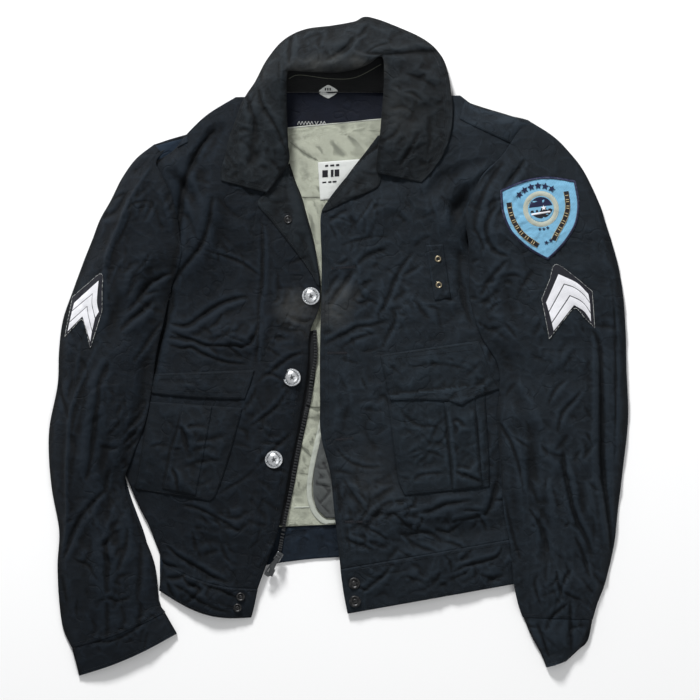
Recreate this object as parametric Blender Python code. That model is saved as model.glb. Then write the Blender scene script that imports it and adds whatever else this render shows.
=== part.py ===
"""Police uniform jacket, waist length, laid open on its back with the fronts parted.

Units in the tables are millimetres; METRE turns them into Blender's metres.
+X is the wearer's left, +Y runs to the collar, +Z is up and z = 0 is the surface it lies on.
"""
import math
from collections import namedtuple

import bmesh
import bpy
from mathutils import Matrix, Vector
from mathutils.bvhtree import BVHTree

METRE = 0.001

# Driving sizes, mm
CLOTH = 1.6            # shell fabric with its turned seam
QUILT = 2.0            # quilted lining
DOUBLE = 2.2           # waistband and cuff, two layers
TRIM = 0.8             # patches, tapes and labels
GAP = 0.5              # clearance of a piece above what it lies on
SEAM = 0.4             # clearance in plan between pieces sewn edge to edge
BACK_COLUMNS = 10      # cells across each panel; sewn neighbours share a count
FRONT_COLUMNS = 13
SLEEVE_COLUMNS = 12
BUTTON_DIAMETER = 22.5
BUTTON_HEIGHT = 5.5
WAIST_SNAP_DIAMETER = 15.0
NECK_SNAP_DIAMETER = 11.0
EYELET_DIAMETER = 8.5
EYELET_HOLE = 4.0

# Cloth surfaces are lofted through sections from the collar end to the hem.
# x, y and z of the left and right edge, rise of the hump between them, place of its crest
# from 0 at the left edge to 1 at the right, and how far the section bows towards the hem.
Section = namedtuple("Section", "left_x left_y right_x right_y left_z right_z rise crest bow")
# A fold runs from one point to the other, with its half width and height; a valley is negative.
Fold = namedtuple("Fold", "from_x from_y to_x to_y width height")

BACK_PANEL = [
    Section(-96, 316, 144, 315, 1.8, 1.8, 0, 0.5, 0),
    Section(-128, 307, 172, 298, 1.8, 1.8, 0, 0.5, 0),
    Section(-168, 282, 229, 280, 1.8, 1.8, 0, 0.5, 0),
    Section(-202, 250, 222, 250, 1.8, 1.8, 0, 0.5, 0),
    Section(-224, 224, 205, 231, 1.8, 1.8, 0, 0.5, 0),
    Section(-213, 186, 172, 180, 1.8, 1.8, 0, 0.5, 0),
    Section(-203, 113, 172, 113, 1.8, 1.8, 0, 0.5, 0),
    Section(-218, 44, 220, 44, 1.8, 1.8, 0, 0.5, 0),
    Section(-245, -20, 236, -17, 1.8, 1.8, 0, 0.5, 0),
    Section(-267, -93, 244, -93, 1.8, 1.8, 0, 0.5, 0),
    Section(-266, -163, 244, -157, 1.8, 1.8, 0, 0.5, 0),
    Section(-249, -204, 238, -195, 1.8, 1.8, 0, 0.5, -10),
    Section(-226, -264, 232, -246, 1.8, 1.8, 0, 0.5, -31),
]
BACK_WAISTBAND_DEPTH = 42

BACK_LINING = [
    Section(-144, 270, 129, 296, 4.2, 4.2, 0, 0.5, 0),
    Section(-170, 186, 129, 186, 4.2, 4.2, 0, 0.5, 0),
    Section(-176, 59, 142, 59, 4.2, 4.2, 0, 0.5, 0),
    Section(-176, -68, 142, -68, 4.2, 4.2, 0, 0.5, 0),
    Section(-157, -169, 142, -169, 4.2, 4.2, 0, 0.5, 0),
    Section(-138, -231, 104, -224, 4.2, 4.2, 0, 0.5, 0),
]
NECK_YOKE = [
    Section(-77, 322, 68, 322, 6, 6, 0, 0.5, 0),
    Section(-84, 300, 78, 304, 4.6, 4.6, 0, 0.5, 0),
    Section(-96, 275.2, 91, 292.9, 4.2, 4.2, 0, 0.5, 0),
]
COLLAR_STAND = [
    Section(-66, 354, 58, 374, 26, 26, 0, 0.5, 6),
    Section(-68, 341, 60, 352, 21, 21, 0, 0.5, 5),
    Section(-70, 322.6, 62, 322.6, 9, 9, 0, 0.5, 0),
]
FRONT_LINER = [
    Section(-12, -72, 62, -72, 7.5, 7.5, 0, 0.5, 0),
    Section(-18, -100, 62, -100, 7.5, 7.5, 0, 0.5, 0),
    Section(-29, -149, 62, -149, 7.5, 7.5, 0, 0.5, 0),
    Section(-32, -182, 62, -182, 7.5, 7.5, 0, 0.5, 0),
    Section(-28, -203, 62, -203, 7.5, 7.5, 0, 0.5, 0),
    Section(-16, -217, 62, -217, 7.5, 7.5, 0, 0.5, 0),
]
FRONT_RIGHT = [
    Section(-130, 316, -97, 316, 6, 12, 1, 0.5, 0),
    Section(-157, 300, -86, 298, 7, 14, 2, 0.5, 0),
    Section(-173, 288, -79, 283, 8, 15, 3, 0.4, 0),
    Section(-191, 270, -73, 265, 9, 15, 4, 0.3, 0),
    Section(-209, 248, -68, 247, 12, 14, 5, 0.25, 0),
    Section(-234, 228, -63, 227, 15, 12, 6, 0.2, 0),
    Section(-219, 199, -54, 199, 18, 11, 5, 0.2, 0),
    Section(-210, 171, -44, 171, 19, 11, 4, 0.2, 0),
    Section(-205, 142, -35, 142, 18, 11, 4, 0.3, 0),
    Section(-204, 113, -28, 113, 14, 11, 5, 0.4, 0),
    Section(-211, 76, -24, 76, 7, 11, 7, 0.5, 0),
    Section(-219, 44, -25, 49, 5, 11, 8, 0.5, 0),
    Section(-229, 15, -37, 16, 5, 11, 9, 0.5, 0),
    Section(-248, -20, -39, -20, 5, 11, 10, 0.5, 0),
    Section(-266, -65, -45, -65, 5, 11, 11, 0.5, 0),
    Section(-274, -119, -55, -120, 5, 11, 11, 0.5, 0),
    Section(-272, -154, -62, -152, 5, 11, 10, 0.5, 0),
    Section(-262, -181, -67, -180, 5, 11, 10, 0.5, 0),
    Section(-252, -204, -72, -208, 5, 10, 9, 0.5, 0),
    Section(-239, -229, -78, -237, 5, 10, 8, 0.5, 1),
    Section(-228, -256, -90, -271, 5, 9, 7, 0.5, 4),
    Section(-222, -275, -103, -307, 5, 8, 7, 0.5, 9),
]
WAISTBAND_RIGHT = [
    Section(-222, -275.4, -103, -307.4, 5, 8, 7, 0.5, 9),
    Section(-225, -294, -107, -327, 5, 7, 6, 0.5, 11),
    Section(-227, -309, -111, -343, 4, 5, 4, 0.5, 13),
]
FRONT_LEFT = [
    Section(129, 317, 154, 318, 10, 7, 2, 0.5, 0),
    Section(110, 307, 175, 304, 12, 7, 3, 0.5, 0),
    Section(88, 294, 214, 293, 14, 8, 4, 0.5, 0),
    Section(68, 275, 244, 283, 14, 11, 7, 0.6, 0),
    Section(57, 256, 223, 259, 13, 16, 7, 0.6, 0),
    Section(35, 240, 208, 237, 12, 18, 6, 0.6, 0),
    Section(8, 212, 185, 214, 11, 19, 5, 0.6, 0),
    Section(-15, 182, 168, 181, 11, 19, 4, 0.6, 0),
    Section(-22, 166, 163, 161, 11, 18, 4, 0.6, 0),
    Section(-22, 138, 163, 132, 11, 14, 5, 0.5, 0),
    Section(-21, 115, 172, 113, 11, 9, 7, 0.5, 0),
    Section(-21, 77, 200, 76, 11, 6, 8, 0.5, 0),
    Section(-22, 41, 223, 43, 11, 5, 9, 0.5, 0),
    Section(-23, -4, 237, -4, 11, 5, 10, 0.5, 0),
    Section(-23, -68, 244, -68, 11, 5, 11, 0.5, 0),
    Section(-22, -111, 248, -111, 11, 5, 11, 0.5, 0),
    Section(-10, -161, 247, -157, 11, 5, 10, 0.5, 0),
    Section(-4, -218, 239, -195, 10, 5, 9, 0.5, 0),
    Section(0, -252, 234, -220, 10, 5, 8, 0.5, 0),
    Section(3, -282, 232, -242, 9, 5, 7, 0.5, 0),
]
WAISTBAND_LEFT = [
    Section(3, -282.4, 232, -242.4, 9, 5, 7, 0.5, 0),
    Section(7, -312, 231, -271, 7, 5, 6, 0.5, 0),
    Section(12, -338, 231, -299, 5, 4, 4, 0.5, 0),
]
SLEEVE_RIGHT = [
    Section(-237, 252, -229, 242, 13, 16, 1, 0.6, 0),
    Section(-257, 237, -236, 230, 9, 20, 3, 0.7, 0),
    Section(-275, 212, -228, 212, 5, 22, 8, 0.6, 0),
    Section(-288, 186, -217, 190, 4, 21, 11, 0.55, 0),
    Section(-302, 161, -211, 166, 4, 19, 13, 0.5, 0),
    Section(-312, 135, -206, 138, 4, 17, 14, 0.45, 0),
    Section(-322, 110, -205, 110, 4, 14, 16, 0.4, 0),
    Section(-336, 72, -213, 72, 4, 8, 20, 0.4, 0),
    Section(-349, 34, -222, 31, 4, 7, 22, 0.45, 0),
    Section(-354, -4, -231, -8, 4, 7, 23, 0.5, 0),
    Section(-356, -49, -237, -55, 4, 7, 23, 0.5, 0),
    Section(-366, -100, -246, -100, 4, 7, 22, 0.5, 0),
    Section(-367, -138, -262, -141, 4, 7, 21, 0.5, 0),
    Section(-363, -182, -271, -178, 4, 6, 20, 0.5, 0),
    Section(-354, -233, -250, -233, 4, 5, 18, 0.5, 0),
    Section(-356, -277, -234, -274, 4, 5, 17, 0.5, 0),
    Section(-354, -322, -229, -312, 4, 4, 15, 0.5, 0),
    Section(-349, -357, -227, -327, 4, 4, 13, 0.5, 3),
    Section(-338, -382, -220, -337, 4, 4, 11, 0.5, 5),
]
SLEEVE_LEFT = [
    Section(241, 275, 248, 280, 14, 12, 1, 0.5, 0),
    Section(225, 257, 271, 267, 18, 7, 3, 0.4, 0),
    Section(210, 236, 290, 249, 20, 5, 7, 0.4, 0),
    Section(187, 213, 311, 222, 21, 4, 10, 0.45, 0),
    Section(171, 180, 331, 180, 21, 4, 12, 0.5, 0),
    Section(166, 158, 338, 158, 20, 4, 13, 0.5, 0),
    Section(165, 130, 347, 130, 17, 4, 15, 0.5, 0),
    Section(166, 97, 355, 100, 12, 4, 18, 0.5, 0),
    Section(167, 59, 361, 62, 10, 4, 21, 0.5, 0),
    Section(180, 15, 364, 15, 9, 4, 22, 0.5, 0),
    Section(204, -30, 365, -30, 8, 4, 23, 0.5, 0),
    Section(201, -93, 367, -91, 8, 4, 23, 0.5, 0),
    Section(206, -150, 361, -150, 8, 4, 22, 0.5, 0),
    Section(210, -208, 354, -208, 7, 4, 20, 0.5, 0),
    Section(218, -252, 349, -252, 6, 4, 18, 0.5, 0),
    Section(222, -296, 338, -299, 5, 4, 17, 0.5, 0),
    Section(228, -326, 328, -326, 5, 4, 15, 0.5, 0),
    Section(234, -343, 322, -346, 4, 4, 13, 0.5, 0),
]
CUFF_RIGHT = [
    Section(-338, -382.8, -220, -337.8, 4, 4, 11, 0.5, 5),
    Section(-333, -401, -213, -350, 4, 4, 9, 0.5, 6),
    Section(-329, -417.5, -205, -364, 4, 4, 7, 0.5, 8),
]
CUFF_LEFT = [
    Section(235, -343.8, 322, -346.8, 4, 4, 13, 0.5, 0),
    Section(244, -366, 316, -373, 4, 4, 11, 0.5, 0),
    Section(256, -388, 304, -385, 4, 4, 8, 0.5, 0),
    Section(264, -407, 289, -399, 4, 4, 8, 0.5, 2),
]
UNDER_SLEEVE_RIGHT = [
    Section(-253, 230, -240, 228, 1.8, 1.8, 0, 0.5, 0),
    Section(-270, 206, -226, 206, 1.8, 1.8, 0, 0.5, 0),
    Section(-297, 161, -214, 161, 1.8, 1.8, 0, 0.5, 0),
    Section(-318, 110, -209, 110, 1.8, 1.8, 0, 0.5, 0),
    Section(-333, 69, -217, 69, 1.8, 1.8, 0, 0.5, 0),
    Section(-348, 21, -233, 17, 1.8, 1.8, 0, 0.5, 0),
    Section(-352, -20, -251, -20, 1.8, 1.8, 0, 0.5, 0),
    Section(-362, -93, -273, -93, 1.8, 1.8, 0, 0.5, 0),
    Section(-362, -144, -277, -144, 1.8, 1.8, 0, 0.5, 0),
    Section(-356, -195, -264, -191, 1.8, 1.8, 0, 0.5, 0),
    Section(-350, -239, -246, -239, 1.8, 1.8, 0, 0.5, 0),
    Section(-351, -277, -237, -277, 1.8, 1.8, 0, 0.5, 0),
    Section(-348, -328, -232, -316, 1.8, 1.8, 0, 0.5, 0),
    Section(-336, -379, -223, -335, 1.8, 1.8, 0, 0.5, 5),
]
UNDER_SLEEVE_LEFT = [
    Section(236, 262, 246, 268, 1.8, 1.8, 0, 0.5, 0),
    Section(232, 236, 284, 245, 1.8, 1.8, 0, 0.5, 0),
    Section(213, 213, 305, 219, 1.8, 1.8, 0, 0.5, 0),
    Section(180, 180, 325, 180, 1.8, 1.8, 0, 0.5, 0),
    Section(178, 130, 341, 130, 1.8, 1.8, 0, 0.5, 0),
    Section(196, 85, 352, 85, 1.8, 1.8, 0, 0.5, 0),
    Section(227, 40, 357, 40, 1.8, 1.8, 0, 0.5, 0),
    Section(242, -20, 360, -20, 1.8, 1.8, 0, 0.5, 0),
    Section(252, -93, 362, -93, 1.8, 1.8, 0, 0.5, 0),
    Section(253, -157, 355, -157, 1.8, 1.8, 0, 0.5, 0),
    Section(246, -205, 349, -208, 1.8, 1.8, 0, 0.5, 0),
    Section(240, -252, 344, -252, 1.8, 1.8, 0, 0.5, 0),
    Section(236, -299, 333, -299, 1.8, 1.8, 0, 0.5, 0),
    Section(237, -342.5, 319, -345, 1.8, 1.8, 0, 0.5, 0),
]
# The collar runs from the end of the right leaf round the back of the neck to the left leaf.
# Left is its neck edge here and right is its free edge.
COLLAR = [
    Section(-91, 195, -148, 210, 19, 17, 3, 0.4, 0),
    Section(-76, 214, -148, 224, 21, 18, 4, 0.35, 0),
    Section(-63, 234, -143, 240, 23, 19, 5, 0.3, 0),
    Section(-64, 255, -139, 260, 25, 20, 5, 0.3, 0),
    Section(-65, 278, -131, 283, 27, 20, 5, 0.25, 0),
    Section(-66, 303, -123, 306, 28, 18, 5, 0.25, 0),
    Section(-66, 326, -115, 321, 29, 14, 6, 0.25, 0),
    Section(-65, 344, -105, 336, 30, 10, 7, 0.3, 0),
    Section(-64, 348, -91, 363, 30, 6, 8, 0.3, 0),
    Section(-59, 349, -70, 388, 30, 4, 9, 0.35, 0),
    Section(-45, 348, -43, 402, 30, 3, 10, 0.35, 0),
    Section(-23, 347, -8, 407, 30, 3, 10, 0.35, 0),
    Section(0, 347, 20, 412, 30, 3, 10, 0.35, 0),
    Section(22, 351, 37, 418, 30, 3, 10, 0.35, 0),
    Section(39, 358, 73, 406, 30, 3, 9, 0.35, 0),
    Section(50, 366, 109, 389, 30, 4, 8, 0.35, 0),
    Section(57, 363, 129, 370, 30, 6, 8, 0.3, 0),
    Section(58, 341, 138, 349, 30, 10, 7, 0.25, 0),
    Section(57, 318, 142, 323, 29, 14, 7, 0.25, 0),
    Section(55, 293, 144, 298, 28, 18, 6, 0.25, 0),
    Section(53, 270, 142, 273, 27, 20, 6, 0.3, 0),
    Section(50, 247, 134, 247, 25, 20, 6, 0.3, 0),
    Section(48, 229, 121, 226, 23, 19, 5, 0.35, 0),
    Section(49, 220, 105, 208, 21, 18, 4, 0.4, 0),
]
LAPEL_RIGHT = [
    Section(-67, 229, -62, 232, 0, 0, 0, 0.5, 0),
    Section(-91, 196, -55, 210, 0, 0, 0, 0.5, 0),
    Section(-102, 181, -47, 190, 0, 0, 0, 0.5, 0),
    Section(-87, 162, -40, 165, 0, 0, 0, 0.5, 0),
    Section(-72, 143, -33, 140, 0, 0, 0, 0.5, 0),
    Section(-57, 124, -29, 120, 0, 0, 0, 0.5, 0),
    Section(-43, 105, -26, 101, 0, 0, 0, 0.5, 0),
    Section(-32, 88, -24, 84, 0, 0, 0, 0.5, 0),
    Section(-27, 78, -23, 76, 0, 0, 0, 0.5, 0),
]
LAPEL_LEFT = [
    Section(50, 267, 53, 268, 0, 0, 0, 0.5, 0),
    Section(35, 247, 57, 250, 0, 0, 0, 0.5, 0),
    Section(17, 224, 54, 223, 0, 0, 0, 0.5, 0),
    Section(-1, 199, 49, 202, 0, 0, 0, 0.5, 0),
    Section(-12, 185, 14, 186, 0, 0, 0, 0.5, 0),
    Section(-21, 171, -15, 172, 0, 0, 0, 0.5, 0),
]
POCKET_RIGHT = [
    Section(-240, -70, -122, -78, 0, 0, 0, 0.5, 0),
    Section(-246, -110, -131, -112, 0, 0, 0, 0.5, 0),
    Section(-252, -147, -142, -150, 0, 0, 0, 0.5, 0),
    Section(-258, -177, -155, -186, 0, 0, 0, 0.5, 0),
    Section(-257, -180, -163, -195, 0, 0, 0, 0.5, 0),
]
PLEAT_RIGHT = [
    Section(-196, -72, -160, -76, 0, 0, 0, 0.5, 0),
    Section(-210, -130, -171, -135, 0, 0, 0, 0.5, 0),
    Section(-223, -180, -181, -188, 0, 0, 0, 0.5, 0),
]
FLAP_RIGHT = [
    Section(-233, -35, -107, -30, 0, 0, 0, 0.5, 0),
    Section(-236, -47, -113, -50, 0, 0, 0, 0.5, 0),
    Section(-236, -59, -119, -66, 0, 0, 0, 0.5, 2),
    Section(-216, -73, -124, -82, 0, 0, 0, 0.5, 0),
]
POCKET_LEFT = [
    Section(62, -62, 184, -48, 0, 0, 0, 0.5, 0),
    Section(67, -105, 187, -90, 0, 0, 0, 0.5, 0),
    Section(72, -145, 190, -135, 0, 0, 0, 0.5, 0),
    Section(76, -170, 191, -166, 0, 0, 0, 0.5, 0),
    Section(84, -188, 191, -177, 0, 0, 0, 0.5, 0),
]
PLEAT_LEFT = [
    Section(134, -70, 172, -62, 0, 0, 0, 0.5, 0),
    Section(140, -125, 177, -118, 0, 0, 0, 0.5, 0),
    Section(145, -181, 182, -177, 0, 0, 0, 0.5, 0),
]
FLAP_LEFT = [
    Section(53, -11, 178, 7, 0, 0, 0, 0.5, 0),
    Section(57, -30, 188, -20, 0, 0, 0, 0.5, 0),
    Section(62, -50, 196, -40, 0, 0, 0, 0.6, 3),
    Section(66, -66, 203, -54, 0, 0, 0, 0.6, 10),
]
BADGE_TAB = [
    Section(111, 128, 132, 129, 0, 0, 0, 0.5, 0),
    Section(116, 94, 137, 96, 0, 0, 0, 0.5, 0),
    Section(122, 59, 142, 62, 0, 0, 0, 0.5, 0),
]
STRAP_RIGHT = [
    Section(-234, 256, -225, 242, 0, 0, 0, 0.5, 0),
    Section(-213, 263, -209, 250, 0, 0, 0, 0.5, 0),
    Section(-192, 269, -191, 259, 0, 0, 0, 0.5, 0),
]
STRAP_LEFT = [
    Section(220, 257, 244, 284, 0, 0, 0, 0.5, 0),
    Section(196, 268, 214, 294, 0, 0, 0, 0.5, 0),
    Section(172, 279, 184, 303, 0, 0, 0, 0.5, 0),
    Section(154, 288, 160, 311, 0, 0, 0, 0.5, 0),
]
NECK_LABEL = [
    Section(-26, 234, 27, 238, 0, 0, 0, 0.5, 0),
    Section(-23, 186, 30, 190, 0, 0, 0, 0.5, 0),
]
SIZE_LABEL = [
    Section(-14, 331, -12, 331, 0, 0, 0, 0.5, 0),
    Section(-25, 322.5, -1, 323.5, 0, 0, 0, 0.5, 0),
    Section(-14, 315, -12, 315, 0, 0, 0, 0.5, 0),
]
ZIP_TAPE = [
    Section(-45, 20, -28, 20, 8.4, 8.4, 0, 0.5, 0),
    Section(-47, -20, -28, -20, 8.4, 8.4, 0, 0.5, 0),
    Section(-53, -65, -34, -65, 8.4, 8.4, 0, 0.5, 0),
    Section(-63, -120, -46, -120, 8.4, 8.4, 0, 0.5, 0),
    Section(-75, -180, -57, -180, 8.2, 8.2, 0, 0.5, 0),
    Section(-87, -240, -70, -236, 7.4, 7.4, 0, 0.5, 0),
    Section(-91, -258, -75, -252, 7.2, 7.2, 0, 0.5, 0),
]

# Shield patch: place across its length, half width and bow of each section, top to tip
SHIELD_CENTRE = (256, 176)
SHIELD_TILT = 7.5      # degrees
SHIELD_PROFILE = [
    (27, 47, -10), (14, 48, -4), (0, 48, 0), (-15, 45, 0),
    (-29, 39, 0), (-46, 25, 0), (-58, 11, 0), (-65, 1, 0),
]
CHEVRON_LEFT = [
    Section(259, 60, 268, 13, 0, 0, 0, 0.5, 0),
    Section(268, 82, 284, 34, 0, 0, 0, 0.5, 0),
    Section(276, 101, 298, 49, 0, 0, 0, 0.5, 0),
    Section(300, 85, 310, 38, 0, 0, 0, 0.5, 0),
    Section(319, 69, 322, 26, 0, 0, 0, 0.5, 0),
]
CHEVRON_RIGHT = [
    Section(-336, 62, -345, 15, 0, 0, 0, 0.5, 0),
    Section(-319, 76, -334, 26, 0, 0, 0, 0.5, 0),
    Section(-301, 89, -324, 35, 0, 0, 0, 0.5, 0),
    Section(-300, 66, -318, 18, 0, 0, 0, 0.5, 0),
    Section(-300, 45, -314, 1, 0, 0, 0, 0.5, 0),
]
BINDING_ROUTE = [
    (-15, -60), (-22, -100), (-33, -149), (-37, -182), (-32, -206), (-19, -221), (-2, -222), (20, -221),
]
BINDING_WIDTH = 6
BINDING_THICKNESS = 2.4

# Centres of the small metal parts
BUTTON_PLACES = [(-35, 64), (-59, -39), (-82, -143)]
SNAP_PLACES_RIGHT = [(-124, -317), (-128, -331)]
SNAP_PLACES_LEFT = [(20, -300), (21, -323)]
NECK_SNAP_PLACE = (-64, 161)
EYELET_PLACES = [(126, 111), (127, 78)]

# Largest folds of each panel
FOLDS_FRONT_RIGHT = [
    Fold(-158, 270, -196, 205, 9, -6),
    Fold(-196, 205, -204, 130, 7, -7),
    Fold(-165, 178, -172, 130, 10, 5),
    Fold(-172, 130, -200, 90, 9, 5),
    Fold(-150, 150, -110, 80, 18, -4),
    Fold(-215, 22, -100, 14, 9, 4),
    Fold(-205, 4, -120, -8, 8, -4),
    Fold(-110, -60, -75, -20, 12, 3),
    Fold(-170, -215, -120, -250, 12, 3),
]
FOLDS_FRONT_LEFT = [
    Fold(134, 225, 152, 175, 12, -8),
    Fold(152, 175, 164, 118, 10, -8),
    Fold(170, 225, 176, 150, 9, 4),
    Fold(30, 160, 90, 200, 14, 3),
    Fold(60, 20, 120, 60, 14, 3),
    Fold(60, -215, 180, -205, 9, 4),
    Fold(90, -240, 200, -222, 9, -3),
]
FOLDS_SLEEVE_RIGHT = [
    Fold(-250, 205, -296, 108, 9, 5),
    Fold(-285, 30, -225, 90, 9, -5),
    Fold(-300, -30, -330, -160, 12, 4),
    Fold(-300, -120, -285, -230, 9, -5),
    Fold(-310, -230, -300, -310, 12, 4),
]
FOLDS_SLEEVE_LEFT = [
    Fold(190, 40, 250, 90, 10, -4),
    Fold(210, -60, 225, -160, 11, 4),
    Fold(286, -140, 320, -285, 8, -5),
    Fold(240, -110, 262, -262, 8, -4),
    Fold(333, -50, 336, -190, 10, -5),
]
FOLDS_COLLAR = [
    Fold(-100, 290, -108, 240, 8, -4),
    Fold(-12, 395, 8, 372, 9, -3),
    Fold(95, 375, 130, 360, 8, -4),
]

# Turned profiles, radius and height from the seat up
Turn = namedtuple("Turn", "radius height")
BUTTON_PROFILE = [
    Turn(0, 0), Turn(0.82, 0), Turn(1, 0.22), Turn(0.97, 0.42), Turn(0.8, 0.72), Turn(0.45, 0.94),
    Turn(0, 1),
]
SNAP_PROFILE = [
    Turn(0, 0), Turn(0.96, 0), Turn(1, 0.35), Turn(0.9, 0.8), Turn(0.72, 0.8), Turn(0.55, 0.35),
    Turn(0.3, 0.35), Turn(0.22, 0.85), Turn(0, 0.95),
]
EYELET_PROFILE = [Turn(0, 0), Turn(1, 0), Turn(0.9, 0.7), Turn(0.5, 1), Turn(0.1, 0.8)]
SNAP_HEIGHT = 2.8
EYELET_HEIGHT = 1.2

# Zip slider and its pull tab
ZIP_DIRECTION = Vector((-0.4, -0.92, 0)).normalized()
SLIDER_CENTRE = Vector((-76, -266, 10.2))
SLIDER_SIZE = (9, 12, 4.6)
BRIDGE_SPAN = 6.6
BRIDGE_WIRE = 0.8
BRIDGE_RISE = 3.6
PULL_HEADING = Vector((-0.54, -0.84, 0)).normalized()
PULL_LENGTH = 29
PULL_WIDTH = 8
PULL_THICKNESS = 1.4
PULL_EYE_OUTER = 2.3
PULL_EYE_INNER = 1.35
PULL_EYE_WIDTH = 3.4
PULL_WINDOW = 21       # from the hinge to the middle of the window
PULL_WINDOW_SIZE = (4.2, 5.5, 4)
PULL_DROOP = 8         # degrees that the tab hangs below level
ZIP_BOX_CENTRE = Vector((-85, -286, 6))
ZIP_BOX_SIZE = (7, 10, 3)

# Finish of each piece: colour, roughness, metallic
Finish = namedtuple("Finish", "colour roughness metallic")
SHELL = Finish((0.016, 0.021, 0.027, 1), 0.85, 0)
INNER_NAVY = Finish((0.014, 0.018, 0.03, 1), 0.9, 0)
LINING = Finish((0.36, 0.38, 0.32, 1), 0.7, 0)
GREY_LINER = Finish((0.06, 0.07, 0.072, 1), 0.85, 0)
PALE_TAPE = Finish((0.62, 0.66, 0.6, 1), 0.75, 0)
TAPE_BLACK = Finish((0.012, 0.014, 0.018, 1), 0.85, 0)
BLACK_PLUSH = Finish((0.003, 0.003, 0.004, 1), 0.98, 0)
WHITE_LABEL = Finish((0.75, 0.76, 0.74, 1), 0.7, 0)
PATCH_BLUE = Finish((0.28, 0.6, 0.78, 1), 0.7, 0)
PATCH_WHITE = Finish((0.75, 0.76, 0.8, 1), 0.7, 0)
SILVER = Finish((0.75, 0.77, 0.78, 1), 0.25, 1)
BLACK_METAL = Finish((0.02, 0.02, 0.022, 1), 0.35, 1)
BRASS = Finish((0.6, 0.45, 0.2, 1), 0.3, 1)


def clear_scene():
    for thing in list(bpy.data.objects):
        bpy.data.objects.remove(thing, do_unlink=True)


def material_of(name, finish):
    material = bpy.data.materials.new(name)
    material.use_nodes = True
    shader = material.node_tree.nodes["Principled BSDF"]
    shader.inputs["Base Color"].default_value = finish.colour
    shader.inputs["Roughness"].default_value = finish.roughness
    shader.inputs["Metallic"].default_value = finish.metallic
    return material


def finish_object(name, mesh_builder, finish):
    """Turn a bmesh into a named object with its own material."""
    bmesh.ops.recalc_face_normals(mesh_builder, faces=mesh_builder.faces)
    mesh = bpy.data.meshes.new(name)
    mesh_builder.to_mesh(mesh)
    mesh_builder.free()
    thing = bpy.data.objects.new(name, mesh)
    bpy.context.collection.objects.link(thing)
    mesh.materials.append(material_of(name, finish))
    return thing


def mix(a, b, t):
    return a + (b - a) * t


def spline(values, t):
    """Catmull-Rom curve through the values, one value for each whole t."""
    last = len(values) - 1
    i = min(int(t), last - 1)
    f = t - i
    before = values[i - 1] if i > 0 else 2 * values[0] - values[1]
    after = values[i + 2] if i + 2 <= last else 2 * values[last] - values[last - 1]
    a, b = values[i], values[i + 1]
    bend = (b - before) * 0.5
    exit_bend = (after - a) * 0.5
    return (
        a * (2 * f**3 - 3 * f**2 + 1)
        + bend * (f**3 - 2 * f**2 + f)
        + b * (3 * f**2 - 2 * f**3)
        + exit_bend * (f**3 - f**2)
    )


def hump(u, crest):
    """A rounded rise from 0 at both edges to 1 at the crest."""
    w = 0.5 * u / crest if u < crest else 0.5 + 0.5 * (u - crest) / (1 - crest)
    return max(0.0, math.sin(math.pi * w)) ** 0.75


def fold_height(fold, x, y):
    """Height that one fold adds at a point, fading past its ends."""
    along = Vector((fold.to_x - fold.from_x, fold.to_y - fold.from_y))
    offset = Vector((x - fold.from_x, y - fold.from_y))
    t = offset.dot(along) / along.length_squared
    nearest = along * min(1.0, max(0.0, t))
    distance = (offset - nearest).length / fold.width
    return fold.height * math.exp(-distance * distance)


def loft(sections, steps, columns, folds=()):
    """Rows of points on the upper face of a cloth, through its sections."""
    rows = []
    for i in range((len(sections) - 1) * steps + 1):
        t = i / steps
        s = Section(*[spline([row[k] for row in sections], t) for k in range(len(Section._fields))])
        row = []
        for j in range(columns + 1):
            u = j / columns
            x = mix(s.left_x, s.right_x, u)
            y = mix(s.left_y, s.right_y, u) - s.bow * math.sin(math.pi * u)
            z = mix(s.left_z, s.right_z, u) + s.rise * hump(u, s.crest)
            z += sum(fold_height(fold, x, y) for fold in folds)
            row.append(Vector((x, y, z)))
        rows.append(row)
    return rows


def tree_of(thing):
    """Search tree of a built piece, in mm."""
    points = [thing.matrix_world @ v.co / METRE for v in thing.data.vertices]
    return BVHTree.FromPolygons(points, [p.vertices for p in thing.data.polygons])


def top_at(trees, x, y):
    """Highest surface of the pieces below a point, or None."""
    best = None
    for tree in trees:
        hit = tree.ray_cast(Vector((x, y, 500)), Vector((0, 0, -1)))[0]
        if hit is not None and (best is None or hit.z > best):
            best = hit.z
    return best


def settle(rows, supports, thickness):
    """Lift points until the cloth's underside clears what lies below it, cell by cell."""
    trees = [tree_of(thing) for thing in supports]
    lifted = []
    for r, row in enumerate(rows):
        new_row = []
        for c, point in enumerate(row):
            floor = 0.0
            for dr in (-1, 0, 1):
                for dc in (-1, 0, 1):
                    rr = min(len(rows) - 1, max(0, r + dr))
                    cc = min(len(row) - 1, max(0, c + dc))
                    for f in (0.0, 0.25, 0.5, 0.75, 1.0):
                        spot = point.lerp(rows[rr][cc], f)
                        height = top_at(trees, spot.x, spot.y)
                        if height is not None:
                            floor = max(floor, height + GAP)
            new_row.append(Vector((point.x, point.y, max(point.z, floor + thickness))))
        lifted.append(new_row)
    return lifted


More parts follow.
